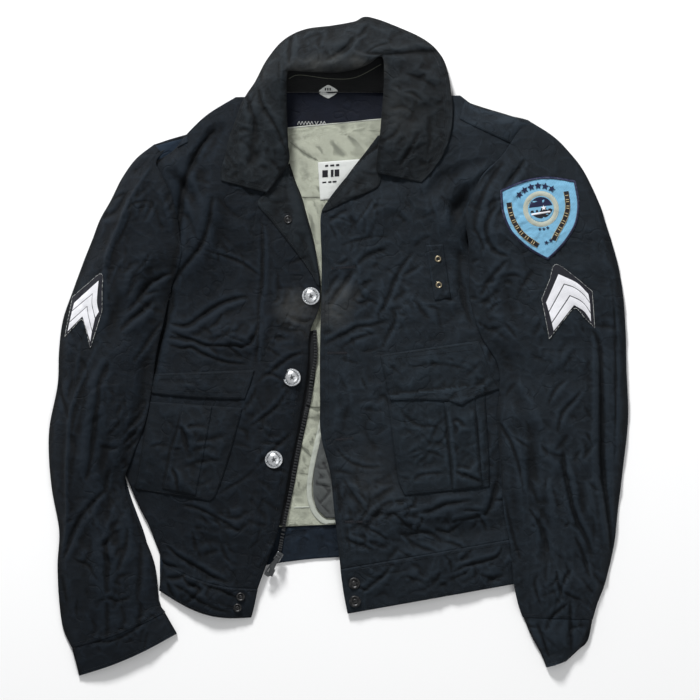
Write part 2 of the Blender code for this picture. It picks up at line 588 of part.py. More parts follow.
def sheet(name, rows, thickness, finish):
    """Closed wall of cloth with the rows as its upper face."""
    builder = bmesh.new()
    top = [[builder.verts.new(p * METRE) for p in row] for row in rows]
    drop = Vector((0, 0, thickness))
    base = [[builder.verts.new((p - drop) * METRE) for p in row] for row in rows]
    last_row = len(rows) - 1
    last_col = len(rows[0]) - 1
    for r in range(last_row):
        for c in range(last_col):
            builder.faces.new((top[r][c], top[r + 1][c], top[r + 1][c + 1], top[r][c + 1]))
            builder.faces.new((base[r][c], base[r][c + 1], base[r + 1][c + 1], base[r + 1][c]))
    rim = [(r, 0) for r in range(last_row)]
    rim += [(last_row, c) for c in range(last_col)]
    rim += [(r, last_col) for r in range(last_row, 0, -1)]
    rim += [(0, c) for c in range(last_col, 0, -1)]
    for (r, c), (next_r, next_c) in zip(rim, rim[1:] + rim[:1]):
        builder.faces.new((top[r][c], base[r][c], base[next_r][next_c], top[next_r][next_c]))
    return finish_object(name, builder, finish)


def cloth(name, sections, steps, columns, finish, thickness=CLOTH, folds=(), on=()):
    rows = loft(sections, steps, columns, folds)
    if on:
        rows = settle(rows, on, thickness)
    return sheet(name, rows, thickness, finish)


def tube(name, sections, steps, columns, thickness, finish):
    """Flattened open tube, flat below and arched above, with walls of one thickness."""
    rows = loft(sections, steps, columns)
    builder = bmesh.new()
    outer = []
    inner = []
    for row in rows:
        inset = Vector((thickness, 0, 0))
        ring = [p.copy() for p in row] + [Vector((p.x, p.y, 0)) for p in reversed(row)]
        hollow = [p - Vector((0, 0, thickness)) for p in row]
        hollow += [Vector((p.x, p.y, thickness)) for p in reversed(row)]
        hollow[0] = hollow[0] + inset
        hollow[-1] = hollow[-1] + inset
        hollow[columns] = hollow[columns] - inset
        hollow[columns + 1] = hollow[columns + 1] - inset
        outer.append([builder.verts.new(p * METRE) for p in ring])
        inner.append([builder.verts.new(p * METRE) for p in hollow])
    count = len(outer[0])
    for r in range(len(rows) - 1):
        for c in range(count):
            d = (c + 1) % count
            builder.faces.new((outer[r][c], outer[r + 1][c], outer[r + 1][d], outer[r][d]))
            builder.faces.new((inner[r][d], inner[r + 1][d], inner[r + 1][c], inner[r][c]))
    for c in range(count):
        d = (c + 1) % count
        builder.faces.new((outer[0][d], inner[0][d], inner[0][c], outer[0][c]))
        builder.faces.new((outer[-1][c], inner[-1][c], inner[-1][d], outer[-1][d]))
    return finish_object(name, builder, finish)


def ribbon(name, route, width, thickness, steps, finish, on):
    """Narrow tape of even width along a smooth route."""
    count = (len(route) - 1) * steps
    places = []
    for i in range(count + 1):
        t = i / steps
        places.append(Vector((spline([p[0] for p in route], t), spline([p[1] for p in route], t), 0)))
    rows = []
    for i, place in enumerate(places):
        ahead = places[min(i + 1, count)] - places[max(i - 1, 0)]
        side = Vector((ahead.y, -ahead.x, 0)).normalized() * width / 2
        rows.append([place - side, place + side])
    return sheet(name, settle(rows, on, thickness), thickness, finish)


def turned(name, profile, diameter, height, centre, segments, finish, on, hole=0.0):
    """Round piece spun from its profile, seated just above the cloth below it."""
    trees = [tree_of(thing) for thing in on]
    seat = 0.0
    for ring in (0.0, 0.5, 1.0):
        for k in range(12):
            angle = math.tau * k / 12
            x = centre[0] + ring * diameter / 2 * math.cos(angle)
            y = centre[1] + ring * diameter / 2 * math.sin(angle)
            seat = max(seat, top_at(trees, x, y) or 0.0)
    builder = bmesh.new()
    points = []
    for turn in profile:
        radius = mix(hole / 2, diameter / 2, turn.radius)
        points.append(Vector((radius, 0, turn.height * height)) * METRE)
    verts = [builder.verts.new(p) for p in points]
    edges = [builder.edges.new(pair) for pair in zip(verts, verts[1:])]
    if hole:
        edges.append(builder.edges.new((verts[-1], verts[0])))
    bmesh.ops.spin(
        builder, geom=verts + edges, cent=(0, 0, 0), axis=(0, 0, 1), angle=math.tau, steps=segments,
    )
    bmesh.ops.remove_doubles(builder, verts=builder.verts, dist=0.00001)
    thing = finish_object(name, builder, finish)
    thing.location = Vector((centre[0], centre[1], seat + GAP)) * METRE
    thing.data.shade_smooth()
    thing.data.set_sharp_from_angle(angle=math.radians(40))
    return thing


def heading_turn(heading):
    """Turn that takes +Y to a heading in plan."""
    return Matrix.Rotation(math.atan2(heading.y, heading.x) - math.pi / 2, 4, "Z")


def block(name, size, centre, heading, bevel, finish):
    """Bevelled block with its length along a heading in plan."""
    builder = bmesh.new()
    bmesh.ops.create_cube(builder, size=1.0)
    bmesh.ops.scale(builder, vec=Vector(size) * METRE, verts=builder.verts)
    bmesh.ops.bevel(
        builder, geom=list(builder.edges), offset=bevel * METRE, segments=2, affect="EDGES", profile=0.5,
    )
    bmesh.ops.transform(builder, matrix=heading_turn(heading), verts=builder.verts)
    thing = finish_object(name, builder, finish)
    thing.location = centre * METRE
    return thing


def sweep(builder, route, radius, sides):
    """Round wire along a route that lies in the local YZ plane, ends capped."""
    rings = []
    for i, place in enumerate(route):
        ahead = (route[min(i + 1, len(route) - 1)] - route[max(i - 1, 0)]).normalized()
        across = Vector((0, 1, 0))
        up = ahead.cross(across)
        ring = []
        for k in range(sides):
            angle = math.tau * k / sides
            spoke = across * math.cos(angle) + up * math.sin(angle)
            ring.append(builder.verts.new(place + spoke * radius))
        rings.append(ring)
    for low, high in zip(rings, rings[1:]):
        for k in range(sides):
            m = (k + 1) % sides
            builder.faces.new((low[k], low[m], high[m], high[k]))
    builder.faces.new(list(reversed(rings[0])))
    builder.faces.new(rings[-1])


def slider_piece():
    """Slider body with the wire bridge that carries the pull tab."""
    body = block("zip_slider", SLIDER_SIZE, SLIDER_CENTRE, PULL_HEADING, 1.2, SILVER)
    top = SLIDER_SIZE[2] / 2
    half = BRIDGE_SPAN / 2
    corner = 1.2
    route = [
        Vector((-half, 0, top - 1.5)),
        Vector((-half, 0, top + BRIDGE_RISE - corner)),
        Vector((-half + corner * 0.3, 0, top + BRIDGE_RISE - corner * 0.3)),
        Vector((-half + corner, 0, top + BRIDGE_RISE)),
        Vector((half - corner, 0, top + BRIDGE_RISE)),
        Vector((half - corner * 0.3, 0, top + BRIDGE_RISE - corner * 0.3)),
        Vector((half, 0, top + BRIDGE_RISE - corner)),
        Vector((half, 0, top - 1.5)),
    ]
    builder = bmesh.new()
    sweep(builder, [p * METRE for p in route], BRIDGE_WIRE * METRE, 10)
    bridge = finish_object("bridge_guide", builder, SILVER)
    bridge.matrix_world = Matrix.Translation(SLIDER_CENTRE * METRE) @ heading_turn(PULL_HEADING)
    bridge.hide_render = True
    bridge.display_type = "WIRE"
    union = body.modifiers.new("bridge", "BOOLEAN")
    union.operation = "UNION"
    union.object = bridge
    return body


def pull_hinge():
    """Middle of the bridge wire, which is the pull tab's axis."""
    return SLIDER_CENTRE + Vector((0, 0, SLIDER_SIZE[2] / 2 + BRIDGE_RISE))


def pull_piece():
    """Pull tab: an eye round the bridge wire and a tapered plate with a window near its end."""
    builder = bmesh.new()
    sides = 16
    half = PULL_EYE_WIDTH / 2
    rings = []
    for x in (-half, half):
        for radius in (PULL_EYE_OUTER, PULL_EYE_INNER):
            ring = []
            for k in range(sides):
                angle = math.tau * k / sides
                place = Vector((x, radius * math.cos(angle), radius * math.sin(angle)))
                ring.append(builder.verts.new(place * METRE))
            rings.append(ring)
    for low, high in ((0, 1), (1, 3), (3, 2), (2, 0)):
        for k in range(sides):
            m = (k + 1) % sides
            builder.faces.new((rings[low][k], rings[low][m], rings[high][m], rings[high][k]))
    eye = finish_object("zip_pull", builder, SILVER)

    plate = bmesh.new()
    neck = PULL_EYE_INNER + 0.5
    outline = [
        (1.5, neck), (2.6, 7), (PULL_WIDTH / 2, 16), (PULL_WIDTH / 2, PULL_LENGTH - 2),
        (PULL_WIDTH / 2 - 1.2, PULL_LENGTH),
    ]
    outline += [(-x, y) for x, y in reversed(outline)]
    low = -PULL_THICKNESS / 2
    face = plate.faces.new([plate.verts.new(Vector((x, y, low)) * METRE) for x, y in outline])
    raised = bmesh.ops.extrude_face_region(plate, geom=[face])
    moved = [v for v in raised["geom"] if isinstance(v, bmesh.types.BMVert)]
    bmesh.ops.translate(plate, vec=Vector((0, 0, PULL_THICKNESS)) * METRE, verts=moved)
    blade = finish_object("blade_guide", plate, SILVER)
    window = block("window_guide", PULL_WINDOW_SIZE, Vector((0, 0, 0)), Vector((0, 1, 0)), 0.6, SILVER)
    place = Matrix.Translation(pull_hinge() * METRE) @ heading_turn(PULL_HEADING)
    place = place @ Matrix.Rotation(math.radians(-PULL_DROOP), 4, "X")
    eye.matrix_world = place
    blade.matrix_world = place
    window.matrix_world = place @ Matrix.Translation(Vector((0, PULL_WINDOW, 0)) * METRE)
    for guide in (blade, window):
        guide.hide_render = True
        guide.display_type = "WIRE"
    union = eye.modifiers.new("blade", "BOOLEAN")
    union.operation = "UNION"
    union.object = blade
    cut = eye.modifiers.new("window", "BOOLEAN")
    cut.operation = "DIFFERENCE"
    cut.object = window
    return eye


def shield_sections(centre, tilt):
    """Shield outline about its centre, turned in plan."""
    down = Matrix.Rotation(math.radians(tilt), 2)
    sections = []
    for along, half, bow in SHIELD_PROFILE:
        left = down @ Vector((-half, along)) + Vector(centre)
        right = down @ Vector((half, along)) + Vector(centre)
        sections.append(Section(left.x, left.y, right.x, right.y, 0, 0, 0, 0.5, bow))
    return sections


def back_and_lining():
    pieces = {}
    pieces["back_panel"] = cloth("back_panel", BACK_PANEL, 2, BACK_COLUMNS, SHELL, thickness=1.8)
    top = BACK_PANEL[-1]
    band = [
        top._replace(left_y=top.left_y - SEAM, right_y=top.right_y - SEAM, left_z=DOUBLE, right_z=DOUBLE),
        top._replace(
            left_y=top.left_y - BACK_WAISTBAND_DEPTH, right_y=top.right_y - BACK_WAISTBAND_DEPTH,
            left_z=DOUBLE, right_z=DOUBLE, bow=top.bow + 3,
        ),
    ]
    pieces["back_waistband"] = cloth("back_waistband", band, 2, BACK_COLUMNS, INNER_NAVY, thickness=DOUBLE)
    pieces["back_lining"] = cloth("back_lining", BACK_LINING, 2, 6, LINING, thickness=QUILT)
    pieces["neck_yoke"] = cloth("neck_yoke", NECK_YOKE, 2, 6, INNER_NAVY)
    pieces["collar_stand"] = cloth("collar_stand", COLLAR_STAND, 2, 8, BLACK_PLUSH)
    lining = [pieces["back_lining"]]
    pieces["front_liner"] = cloth("front_liner", FRONT_LINER, 2, 4, GREY_LINER, on=lining)
    pieces["liner_binding"] = ribbon(
        "liner_binding", BINDING_ROUTE, BINDING_WIDTH, BINDING_THICKNESS, 3, PALE_TAPE,
        lining + [pieces["front_liner"]],
    )
    pieces["neck_label"] = cloth("neck_label", NECK_LABEL, 2, 2, WHITE_LABEL, thickness=TRIM, on=lining)
    pieces["size_label"] = cloth(
        "size_label", SIZE_LABEL, 2, 2, WHITE_LABEL, thickness=TRIM,
        on=[pieces["neck_yoke"], pieces["collar_stand"]],
    )
    pieces["zip_tape"] = cloth("zip_tape", ZIP_TAPE, 2, 2, TAPE_BLACK, thickness=TRIM, on=lining)
    return pieces


def fronts(pieces):
    below = [pieces[n] for n in ("back_panel", "back_lining", "back_waistband", "neck_yoke", "zip_tape")]
    below += [pieces[n] for n in ("front_liner", "liner_binding", "neck_label")]
    pieces["front_right"] = cloth(
        "front_right", FRONT_RIGHT, 1, FRONT_COLUMNS, SHELL, folds=FOLDS_FRONT_RIGHT, on=below,
    )
    pieces["front_left"] = cloth(
        "front_left", FRONT_LEFT, 1, FRONT_COLUMNS, SHELL, folds=FOLDS_FRONT_LEFT, on=below,
    )
    pieces["waistband_right"] = cloth(
        "waistband_right", WAISTBAND_RIGHT, 2, FRONT_COLUMNS, SHELL, thickness=DOUBLE, on=below,
    )
    pieces["waistband_left"] = cloth(
        "waistband_left", WAISTBAND_LEFT, 2, FRONT_COLUMNS, SHELL, thickness=DOUBLE, on=below,
    )


def trims(pieces):
    """Everything sewn on the fronts."""
    for side, pocket, pleat, flap in (
        ("right", POCKET_RIGHT, PLEAT_RIGHT, FLAP_RIGHT),
        ("left", POCKET_LEFT, PLEAT_LEFT, FLAP_LEFT),
    ):
        front = pieces["front_" + side]
        body = cloth("pocket_" + side, pocket, 1, 6, SHELL, on=[front])
        fold = cloth("pocket_pleat_" + side, pleat, 2, 2, SHELL, thickness=1.2, on=[front, body])
        cover = cloth("pocket_flap_" + side, flap, 1, 7, SHELL, thickness=DOUBLE, on=[front, body, fold])
        pieces["pocket_" + side] = body
        pieces["pocket_pleat_" + side] = fold
        pieces["pocket_flap_" + side] = cover
    right = [pieces["front_right"]]
    left = [pieces["front_left"]]
    inside = [pieces[n] for n in ("back_lining", "neck_label", "neck_yoke")]
    pieces["lapel_right"] = cloth("lapel_right", LAPEL_RIGHT, 1, 4, SHELL, on=right + inside)
    pieces["lapel_left"] = cloth("lapel_left", LAPEL_LEFT, 2, 4, SHELL, on=left + inside)
    pieces["badge_tab"] = cloth("badge_tab", BADGE_TAB, 2, 2, SHELL, on=left)
    pieces["shoulder_strap_right"] = cloth("shoulder_strap_right", STRAP_RIGHT, 1, 2, SHELL, on=right)
    pieces["shoulder_strap_left"] = cloth("shoulder_strap_left", STRAP_LEFT, 1, 2, SHELL, on=left)


def sleeves(pieces):
    for side, upper, folds, under, cuff in (
        ("right", SLEEVE_RIGHT, FOLDS_SLEEVE_RIGHT, UNDER_SLEEVE_RIGHT, CUFF_RIGHT),
        ("left", SLEEVE_LEFT, FOLDS_SLEEVE_LEFT, UNDER_SLEEVE_LEFT, CUFF_LEFT),
    ):
        below = cloth("under_sleeve_" + side, under, 1, 2, SHELL, thickness=1.8)
        body = [pieces[n + side] for n in ("front_", "waistband_", "pocket_", "pocket_flap_")]
        pieces["under_sleeve_" + side] = below
        pieces["sleeve_" + side] = cloth(
            "sleeve_" + side, upper, 1, SLEEVE_COLUMNS, SHELL, folds=folds,
            on=[below, pieces["back_panel"]] + body,
        )
        pieces["cuff_" + side] = tube("cuff_" + side, cuff, 1, SLEEVE_COLUMNS, DOUBLE, SHELL)


def badges(pieces):
    left = [pieces["sleeve_left"]]
    right = [pieces["sleeve_right"]]
    pieces["shield_patch"] = cloth(
        "shield_patch", shield_sections(SHIELD_CENTRE, SHIELD_TILT), 1, 6, PATCH_BLUE,
        thickness=TRIM, on=left,
    )
    pieces["chevron_left"] = cloth(
        "chevron_left", CHEVRON_LEFT, 1, 3, PATCH_WHITE, thickness=TRIM, on=left,
    )
    pieces["chevron_right"] = cloth(
        "chevron_right", CHEVRON_RIGHT, 1, 3, PATCH_WHITE, thickness=TRIM, on=right,
    )


def collar(pieces):
    below = [pieces[n] for n in ("front_right", "front_left", "lapel_right", "lapel_left")]
    below += [pieces[n] for n in ("neck_yoke", "collar_stand", "back_panel")]
    pieces["collar"] = cloth("collar", COLLAR, 1, 7, SHELL, folds=FOLDS_COLLAR, on=below)


def hardware(pieces):
    right = [pieces[n] for n in ("front_right", "lapel_right", "waistband_right")]
    left = [pieces[n] for n in ("front_left", "waistband_left")]
    for number, place in enumerate(BUTTON_PLACES, 1):
        turned(
            "button_%d" % number, BUTTON_PROFILE, BUTTON_DIAMETER, BUTTON_HEIGHT, place, 20, SILVER, right,
        )
    for number, place in enumerate(SNAP_PLACES_RIGHT, 1):
        turned(
            "waist_snap_right_%d" % number, SNAP_PROFILE, NECK_SNAP_DIAMETER, SNAP_HEIGHT, place, 14,
            BLACK_METAL, right,
        )
    for number, place in enumerate(SNAP_PLACES_LEFT, 1):
        turned(
            "waist_snap_left_%d" % number, SNAP_PROFILE, WAIST_SNAP_DIAMETER, SNAP_HEIGHT, place, 16,
            BLACK_METAL, left,
        )
    turned(
        "neck_snap", SNAP_PROFILE, NECK_SNAP_DIAMETER, SNAP_HEIGHT, NECK_SNAP_PLACE, 14,
        BLACK_METAL, right,
    )
    for number, place in enumerate(EYELET_PLACES, 1):
        turned(
            "eyelet_%d" % number, EYELET_PROFILE, EYELET_DIAMETER, EYELET_HEIGHT, place, 14, BRASS,
            [pieces["badge_tab"]], hole=EYELET_HOLE,
        )
    block("zip_box", ZIP_BOX_SIZE, ZIP_BOX_CENTRE, ZIP_DIRECTION, 0.6, SILVER)
    slider_piece()
    pull_piece()


def build():
    clear_scene()
    pieces = back_and_lining()
    fronts(pieces)
    trims(pieces)
    sleeves(pieces)
    badges(pieces)
    collar(pieces)
    hardware(pieces)


build()
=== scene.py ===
"""Police uniform jacket laid open on its back: cloth, sewn trims and metal parts.

Tables are in millimetres; pieces are built in metres.
"""

import math
import random
from collections import namedtuple

import bmesh
import bpy
import numpy as np
from mathutils import Matrix, Vector
from mathutils.bvhtree import BVHTree


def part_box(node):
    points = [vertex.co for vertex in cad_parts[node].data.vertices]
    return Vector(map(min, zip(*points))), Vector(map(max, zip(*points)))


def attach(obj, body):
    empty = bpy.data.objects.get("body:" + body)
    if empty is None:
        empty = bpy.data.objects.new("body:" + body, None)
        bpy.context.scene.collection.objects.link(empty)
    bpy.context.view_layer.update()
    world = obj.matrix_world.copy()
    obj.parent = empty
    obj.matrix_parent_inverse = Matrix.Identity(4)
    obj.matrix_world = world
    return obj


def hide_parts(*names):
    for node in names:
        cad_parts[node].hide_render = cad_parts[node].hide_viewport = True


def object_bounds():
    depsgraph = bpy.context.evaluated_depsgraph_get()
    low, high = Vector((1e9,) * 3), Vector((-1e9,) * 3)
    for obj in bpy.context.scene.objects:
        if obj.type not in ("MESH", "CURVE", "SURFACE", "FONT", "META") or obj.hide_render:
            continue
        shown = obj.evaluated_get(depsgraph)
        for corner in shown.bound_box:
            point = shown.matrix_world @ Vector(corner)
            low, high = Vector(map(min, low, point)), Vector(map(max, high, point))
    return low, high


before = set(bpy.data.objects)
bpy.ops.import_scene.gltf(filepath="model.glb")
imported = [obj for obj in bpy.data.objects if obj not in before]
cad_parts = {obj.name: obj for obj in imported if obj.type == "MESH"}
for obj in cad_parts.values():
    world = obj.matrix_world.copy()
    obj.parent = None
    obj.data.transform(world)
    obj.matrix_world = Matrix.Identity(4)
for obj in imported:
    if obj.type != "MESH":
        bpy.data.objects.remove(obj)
cad_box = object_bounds()

METRE = 0.001
CELL = 2.0             # spacing of the points on the cloth
CLOTH = 1.3
DOUBLE = 1.9
TRIM = 0.7
LIFT = 0.15            # clearance between cloths that lie on each other

# A crease follows its route with a half width and height; a valley is negative. Its lip is a
# raised edge on the left of the route, or on the right when negative.
Crease = namedtuple("Crease", "route width height lip")
# A scatter of small creases round a centre, with their heading and its spread in degrees.
Scatter = namedtuple("Scatter", "x y reach_x reach_y heading spread count height")

FRONT_RIGHT_CREASES = [
    Crease([
        (-156, 275), (-175, 252), (-189, 224), (-197, 199),
        (-201, 167), (-204, 135), (-204, 113),
    ], 4, -4, 0.4),
    Crease([(-159, 191), (-164, 158), (-172, 132), (-184, 115), (-199, 97), (-213, 76)], 4, -4, 0),
    Crease([(-154, 191), (-143, 176), (-128, 165), (-110, 156)], 8, -1.4, 0),
    Crease([
        (-213, 76), (-211, 59), (-217, 40), (-223, 21),
        (-227, 2), (-232, -23), (-237, -49),
    ], 5, -4, 0),
    Crease(
        [(-172, 123), (-157, 119), (-142, 114), (-125, 107), (-112, 99), (-97, 88)], 2, -1.2, 0.6,
    ),
    Crease([(-97, 158), (-96, 135), (-96, 107), (-97, 78), (-101, 53), (-101, 31)], 2.4, -2, 0.7),
    Crease([(-101, 31), (-102, 8), (-105, -25)], 2.2, -1.6, 0.6),
    Crease([
        (-214, 29), (-201, 26), (-189, 27), (-176, 36),
        (-163, 45), (-148, 54), (-130, 60), (-115, 63),
    ], 3.6, -3, -0.9),
    Crease([(-214, 20), (-199, 13), (-182, 7), (-170, 2), (-153, 1), (-130, 1)], 2, -1.8, 0.5),
    Crease([(-218, 11), (-201, 10), (-187, 5)], 2.2, -1.6, -0.5),
    Crease([
        (-214, 2), (-199, -2), (-186, -1), (-176, -7),
        (-159, -14), (-140, -20), (-117, -22),
    ], 2.2, -1.9, 0.6),
    Crease([(-143, 6), (-130, 1), (-115, 2), (-107, 13), (-101, 31)], 3, -2.4, 0.6),
    Crease([(-178, 25), (-167, 21), (-159, 13), (-164, 6)], 2, -1.1, 0),
    Crease([(-143, 11), (-139, 17), (-125, 21)], 2, -1, 0),
    Crease([(-97, 2), (-82, -7), (-67, -16)], 1.8, -0.8, 0.4),
    Crease([(-90, -35), (-77, -25), (-62, -14), (-45, -7)], 2.6, -1.8, 0.6),
    Crease([(-102, -45), (-92, -36), (-81, -36), (-70, -44)], 2.2, -1.3, -0.5),
    Crease([(-121, -83), (-110, -65), (-102, -47)], 2.2, -1.4, 0.5),
    Crease([(-112, -101), (-97, -91), (-84, -81), (-73, -69), (-64, -53)], 2.2, -1.9, 0.5),
    Crease([(-81, -78), (-65, -73), (-51, -67)], 1.6, -0.9, 0),
    Crease([(-128, -103), (-117, -107), (-115, -122)], 3, -1.3, 0),
    Crease([(-105, -153), (-92, -141), (-78, -126), (-60, -110)], 2.8, -1.7, 0.5),
    Crease([(-154, -188), (-135, -176), (-120, -167), (-105, -154)], 2, -1.1, 0.4),
    Crease([(-200, -200), (-180, -204), (-161, -213), (-143, -223), (-124, -235)], 2.4, -1.6, 0.5),
    Crease([
        (-218, -252), (-204, -265), (-189, -274),
        (-172, -284), (-157, -293), (-138, -300),
    ], 2.8, -2, 0.6),
    Crease([(-70, 41), (-59, 36), (-45, 31), (-31, 35)], 3, -1.6, 0.4),
    Crease([(-79, 25), (-62, 20), (-44, 20)], 3, -1.4, 0),
    Crease([(-227, -271), (-217, -277), (-204, -280)], 3, -2, 0.4),
    Crease([(-112, -195), (-97, -210), (-90, -229)], 5, -0.8, 0),
    Crease([(-189, -252), (-157, -246), (-125, -256)], 6, -0.9, 0),
    Crease([(-81, -246), (-90, -261), (-105, -281)], 5, 1, 0),
]
POCKET_RIGHT_CREASES = [
    Crease([(-200, -83), (-205, -108), (-213, -131), (-217, -152), (-224, -181)], 1.8, -1.2, 0.6),
    Crease([(-200, -101), (-194, -116), (-191, -134)], 3, -1.7, 0.5),
    Crease([(-211, -154), (-205, -167), (-203, -187)], 2.2, -1.6, 0.6),
    Crease([(-181, -120), (-161, -117), (-138, -110)], 4, -1.1, 0.4),
    Crease([(-189, -149), (-170, -145), (-147, -143)], 2.6, -1.1, 0.4),
    Crease([(-239, -128), (-227, -124), (-214, -126)], 3, -0.9, 0),
    Crease([(-181, -176), (-168, -173), (-158, -167)], 3, -0.8, 0),
]
FLAP_RIGHT_CREASES = [
    Crease([(-229, -44), (-211, -42), (-189, -46)], 4, -0.8, 0),
    Crease([(-201, -78), (-197, -65), (-191, -50)], 4, -0.8, 0),
    Crease([(-157, -37), (-140, -47), (-128, -63)], 6, -0.9, 0),
]
WAIST_RIGHT_CREASES = [
    Crease([(-219, -293), (-204, -293), (-194, -288)], 3, -2, 0.5),
    Crease([(-217, -299), (-213, -312), (-206, -322)], 3, -2, 0.5),
    Crease([(-197, -288), (-192, -300), (-176, -307), (-186, -319), (-194, -327)], 2.6, -2.2, 0.6),
    Crease([(-211, -301), (-194, -310), (-176, -322), (-156, -332), (-135, -337)], 3, -1.6, 0.5),
    Crease([(-168, -303), (-148, -309), (-125, -319)], 2.4, -1.4, 0.4),
    Crease([(-168, -317), (-148, -327), (-125, -333)], 3, -1.1, 0),
]
FRONT_LEFT_CREASES = [
    Crease([(11, 173), (-1, 167), (-13, 158)], 2.4, -1.5, 0.4),
    Crease([(43, 187), (31, 168), (20, 153)], 2, -1.1, 0.4),
    Crease([(49, 163), (44, 151), (41, 135)], 1.8, -0.7, 0),
    Crease([(2, 128), (21, 134), (40, 138), (63, 140)], 1.8, -0.9, 0.3),
    Crease([(20, 100), (30, 110), (43, 118), (62, 124)], 3.6, -1.9, 0.5),
    Crease([(18, 96), (10, 82), (-1, 68), (-12, 50)], 4.4, -2.8, 0.6),
    Crease([(3, 96), (-7, 81), (-17, 64)], 3.6, -1.7, 0),
    Crease(
        [(95, 119), (84, 107), (77, 95), (70, 81), (65, 67), (59, 53), (49, 38)], 2.6, -2.1, 0.6,
    ),
    Crease([(107, 106), (93, 96), (77, 88)], 2, -1.3, 0.4),
    Crease([(95, 73), (81, 67), (70, 59), (63, 49)], 3, -1, 0),
    Crease([(17, 63), (25, 55), (37, 58), (48, 55), (54, 48)], 2, -0.9, 0.3),
    Crease([(92, 60), (101, 53), (106, 44), (117, 34)], 3, -1.1, 0.4),
    Crease([(107, 52), (120, 50), (131, 46)], 1.8, -0.9, 0.3),
    Crease([(125, 41), (129, 26), (130, 11)], 1.8, -0.7, 0),
    Crease([(149, 41), (140, 33), (131, 26)], 1.8, -0.6, 0),
    Crease([(-17, 3), (-3, 11), (10, 17), (23, 24), (43, 27), (60, 33)], 3, -1.8, 0.6),
    Crease([(2, -2), (17, 7), (30, 13), (48, 17)], 2.4, -1.3, 0.5),
    Crease([(73, 43), (69, 27), (63, 15), (54, -3)], 2.4, -1.9, 0.5),
    Crease([(57, 1), (43, -4), (30, -7)], 2, -0.9, 0),
    Crease([(-1, -14), (12, -18), (27, -22)], 3, -0.8, 0),
    Crease([(-2, -128), (8, -141), (23, -150), (40, -153), (58, -152)], 2.2, -1.3, 0.5),
    Crease([(6, -168), (17, -185), (25, -197), (35, -210)], 2.6, -1.7, 0.6),
    Crease([(-2, -174), (2, -192), (8, -213)], 3.4, -1.4, 0),
    Crease([(-6, -157), (8, -159), (20, -163)], 3, -1, 0.3),
    Crease([(21, -162), (25, -174), (31, -185)], 2.4, -0.9, 0),
    Crease([(44, -205), (60, -199), (78, -195), (93, -195)], 2, -1.1, 0.4),
    Crease([(35, -213), (53, -214), (70, -210)], 2.4, -1, 0),
    Crease(
        [(83, -211), (101, -210), (117, -208), (134, -200), (152, -197), (170, -194)], 3.4, -1.8, 0.5,
    ),
    Crease([(70, -210), (81, -220), (90, -229), (98, -234)], 2.6, -1.8, 0.5),
    Crease([(84, -241), (104, -235), (120, -239), (131, -247)], 3, -1.4, 0.4),
    Crease([(121, -230), (137, -235), (144, -232), (158, -221)], 3, -1.4, 0.4),
    Crease([(7, -241), (17, -247), (30, -252), (45, -258)], 2.6, -1.6, 0.5),
    Crease([(144, -221), (164, -218), (186, -211)], 3, -1.6, 0.4),
    Crease([(184, -215), (191, -205), (197, -190), (201, -169)], 5, -4, 0),
    Crease([(78, -252), (69, -262), (60, -274)], 3, -1.2, 0),
    Crease([(15, -68), (8, -87), (7, -106)], 6, -1, 0),
    Crease([(43, -74), (35, -106), (50, -134)], 7, -1.1, 0),
    Crease([(40, -169), (59, -174), (72, -167)], 4, -0.8, 0),
    Crease([(154, 123), (153, 91), (158, 59), (170, 21)], 8, -2.5, 0),
]
POCKET_LEFT_CREASES = [
    Crease([(134, -74), (137, -100), (139, -125), (142, -144), (144, -182)], 2.2, -1.6, 0.6),
    Crease([(78, -78), (88, -91), (104, -100), (129, -100)], 3, -1, 0.4),
    Crease([(109, -115), (116, -122), (129, -121), (137, -108)], 2.2, -0.9, 0.3),
    Crease([(98, -149), (109, -141), (119, -134), (134, -141)], 2.4, -1.2, 0.4),
    Crease([(93, -173), (101, -164), (114, -161), (134, -159)], 2.2, -1, 0.4),
    Crease([(142, -96), (150, -93), (159, -97)], 2.4, -0.8, 0),
    Crease([(157, -159), (170, -166), (185, -172)], 2.4, -1.1, 0.4),
    Crease([(172, -74), (176, -106), (178, -138), (180, -167)], 2.2, -1.4, 0.5),
    Crease([(142, -154), (157, -152), (167, -154)], 3, -0.7, 0),
]
FLAP_LEFT_CREASES = [
    Crease([(91, -27), (110, -23), (129, -22), (154, -26), (167, -30)], 2, -0.9, 0.4),
    Crease([(60, -20), (73, -30), (81, -37)], 2, -0.7, 0.3),
    Crease([(117, -12), (120, -22), (125, -27)], 1.8, -0.6, 0),
    Crease([(190, -36), (177, -49), (164, -56)], 3, -1.4, 0.4),
    Crease([(68, -63), (78, -55), (88, -58)], 3, -0.8, 0),
    Crease([(148, -40), (145, -49), (149, -63)], 3, -1, 0),
    Crease([(182, -20), (189, -32), (191, -42)], 4, -1.6, 0),
]
WAIST_LEFT_CREASES = [
    Crease([(68, -277), (54, -293), (43, -301), (29, -312)], 2.6, -1.7, 0.6),
    Crease([(144, -286), (164, -277), (185, -272), (201, -266), (208, -253)], 2.6, -2, 0.6),
    Crease([(126, -304), (144, -295), (164, -285)], 3, -1.1, 0.4),
    Crease([(27, -284), (46, -293), (60, -290)], 2.4, -1, 0.3),
    Crease([(43, -319), (58, -312), (65, -319)], 3, -0.9, 0),
    Crease([(84, -301), (97, -295), (106, -300)], 3, -0.8, 0),
    Crease([(187, -299), (197, -293), (209, -291)], 4, -2, 0.4),
]
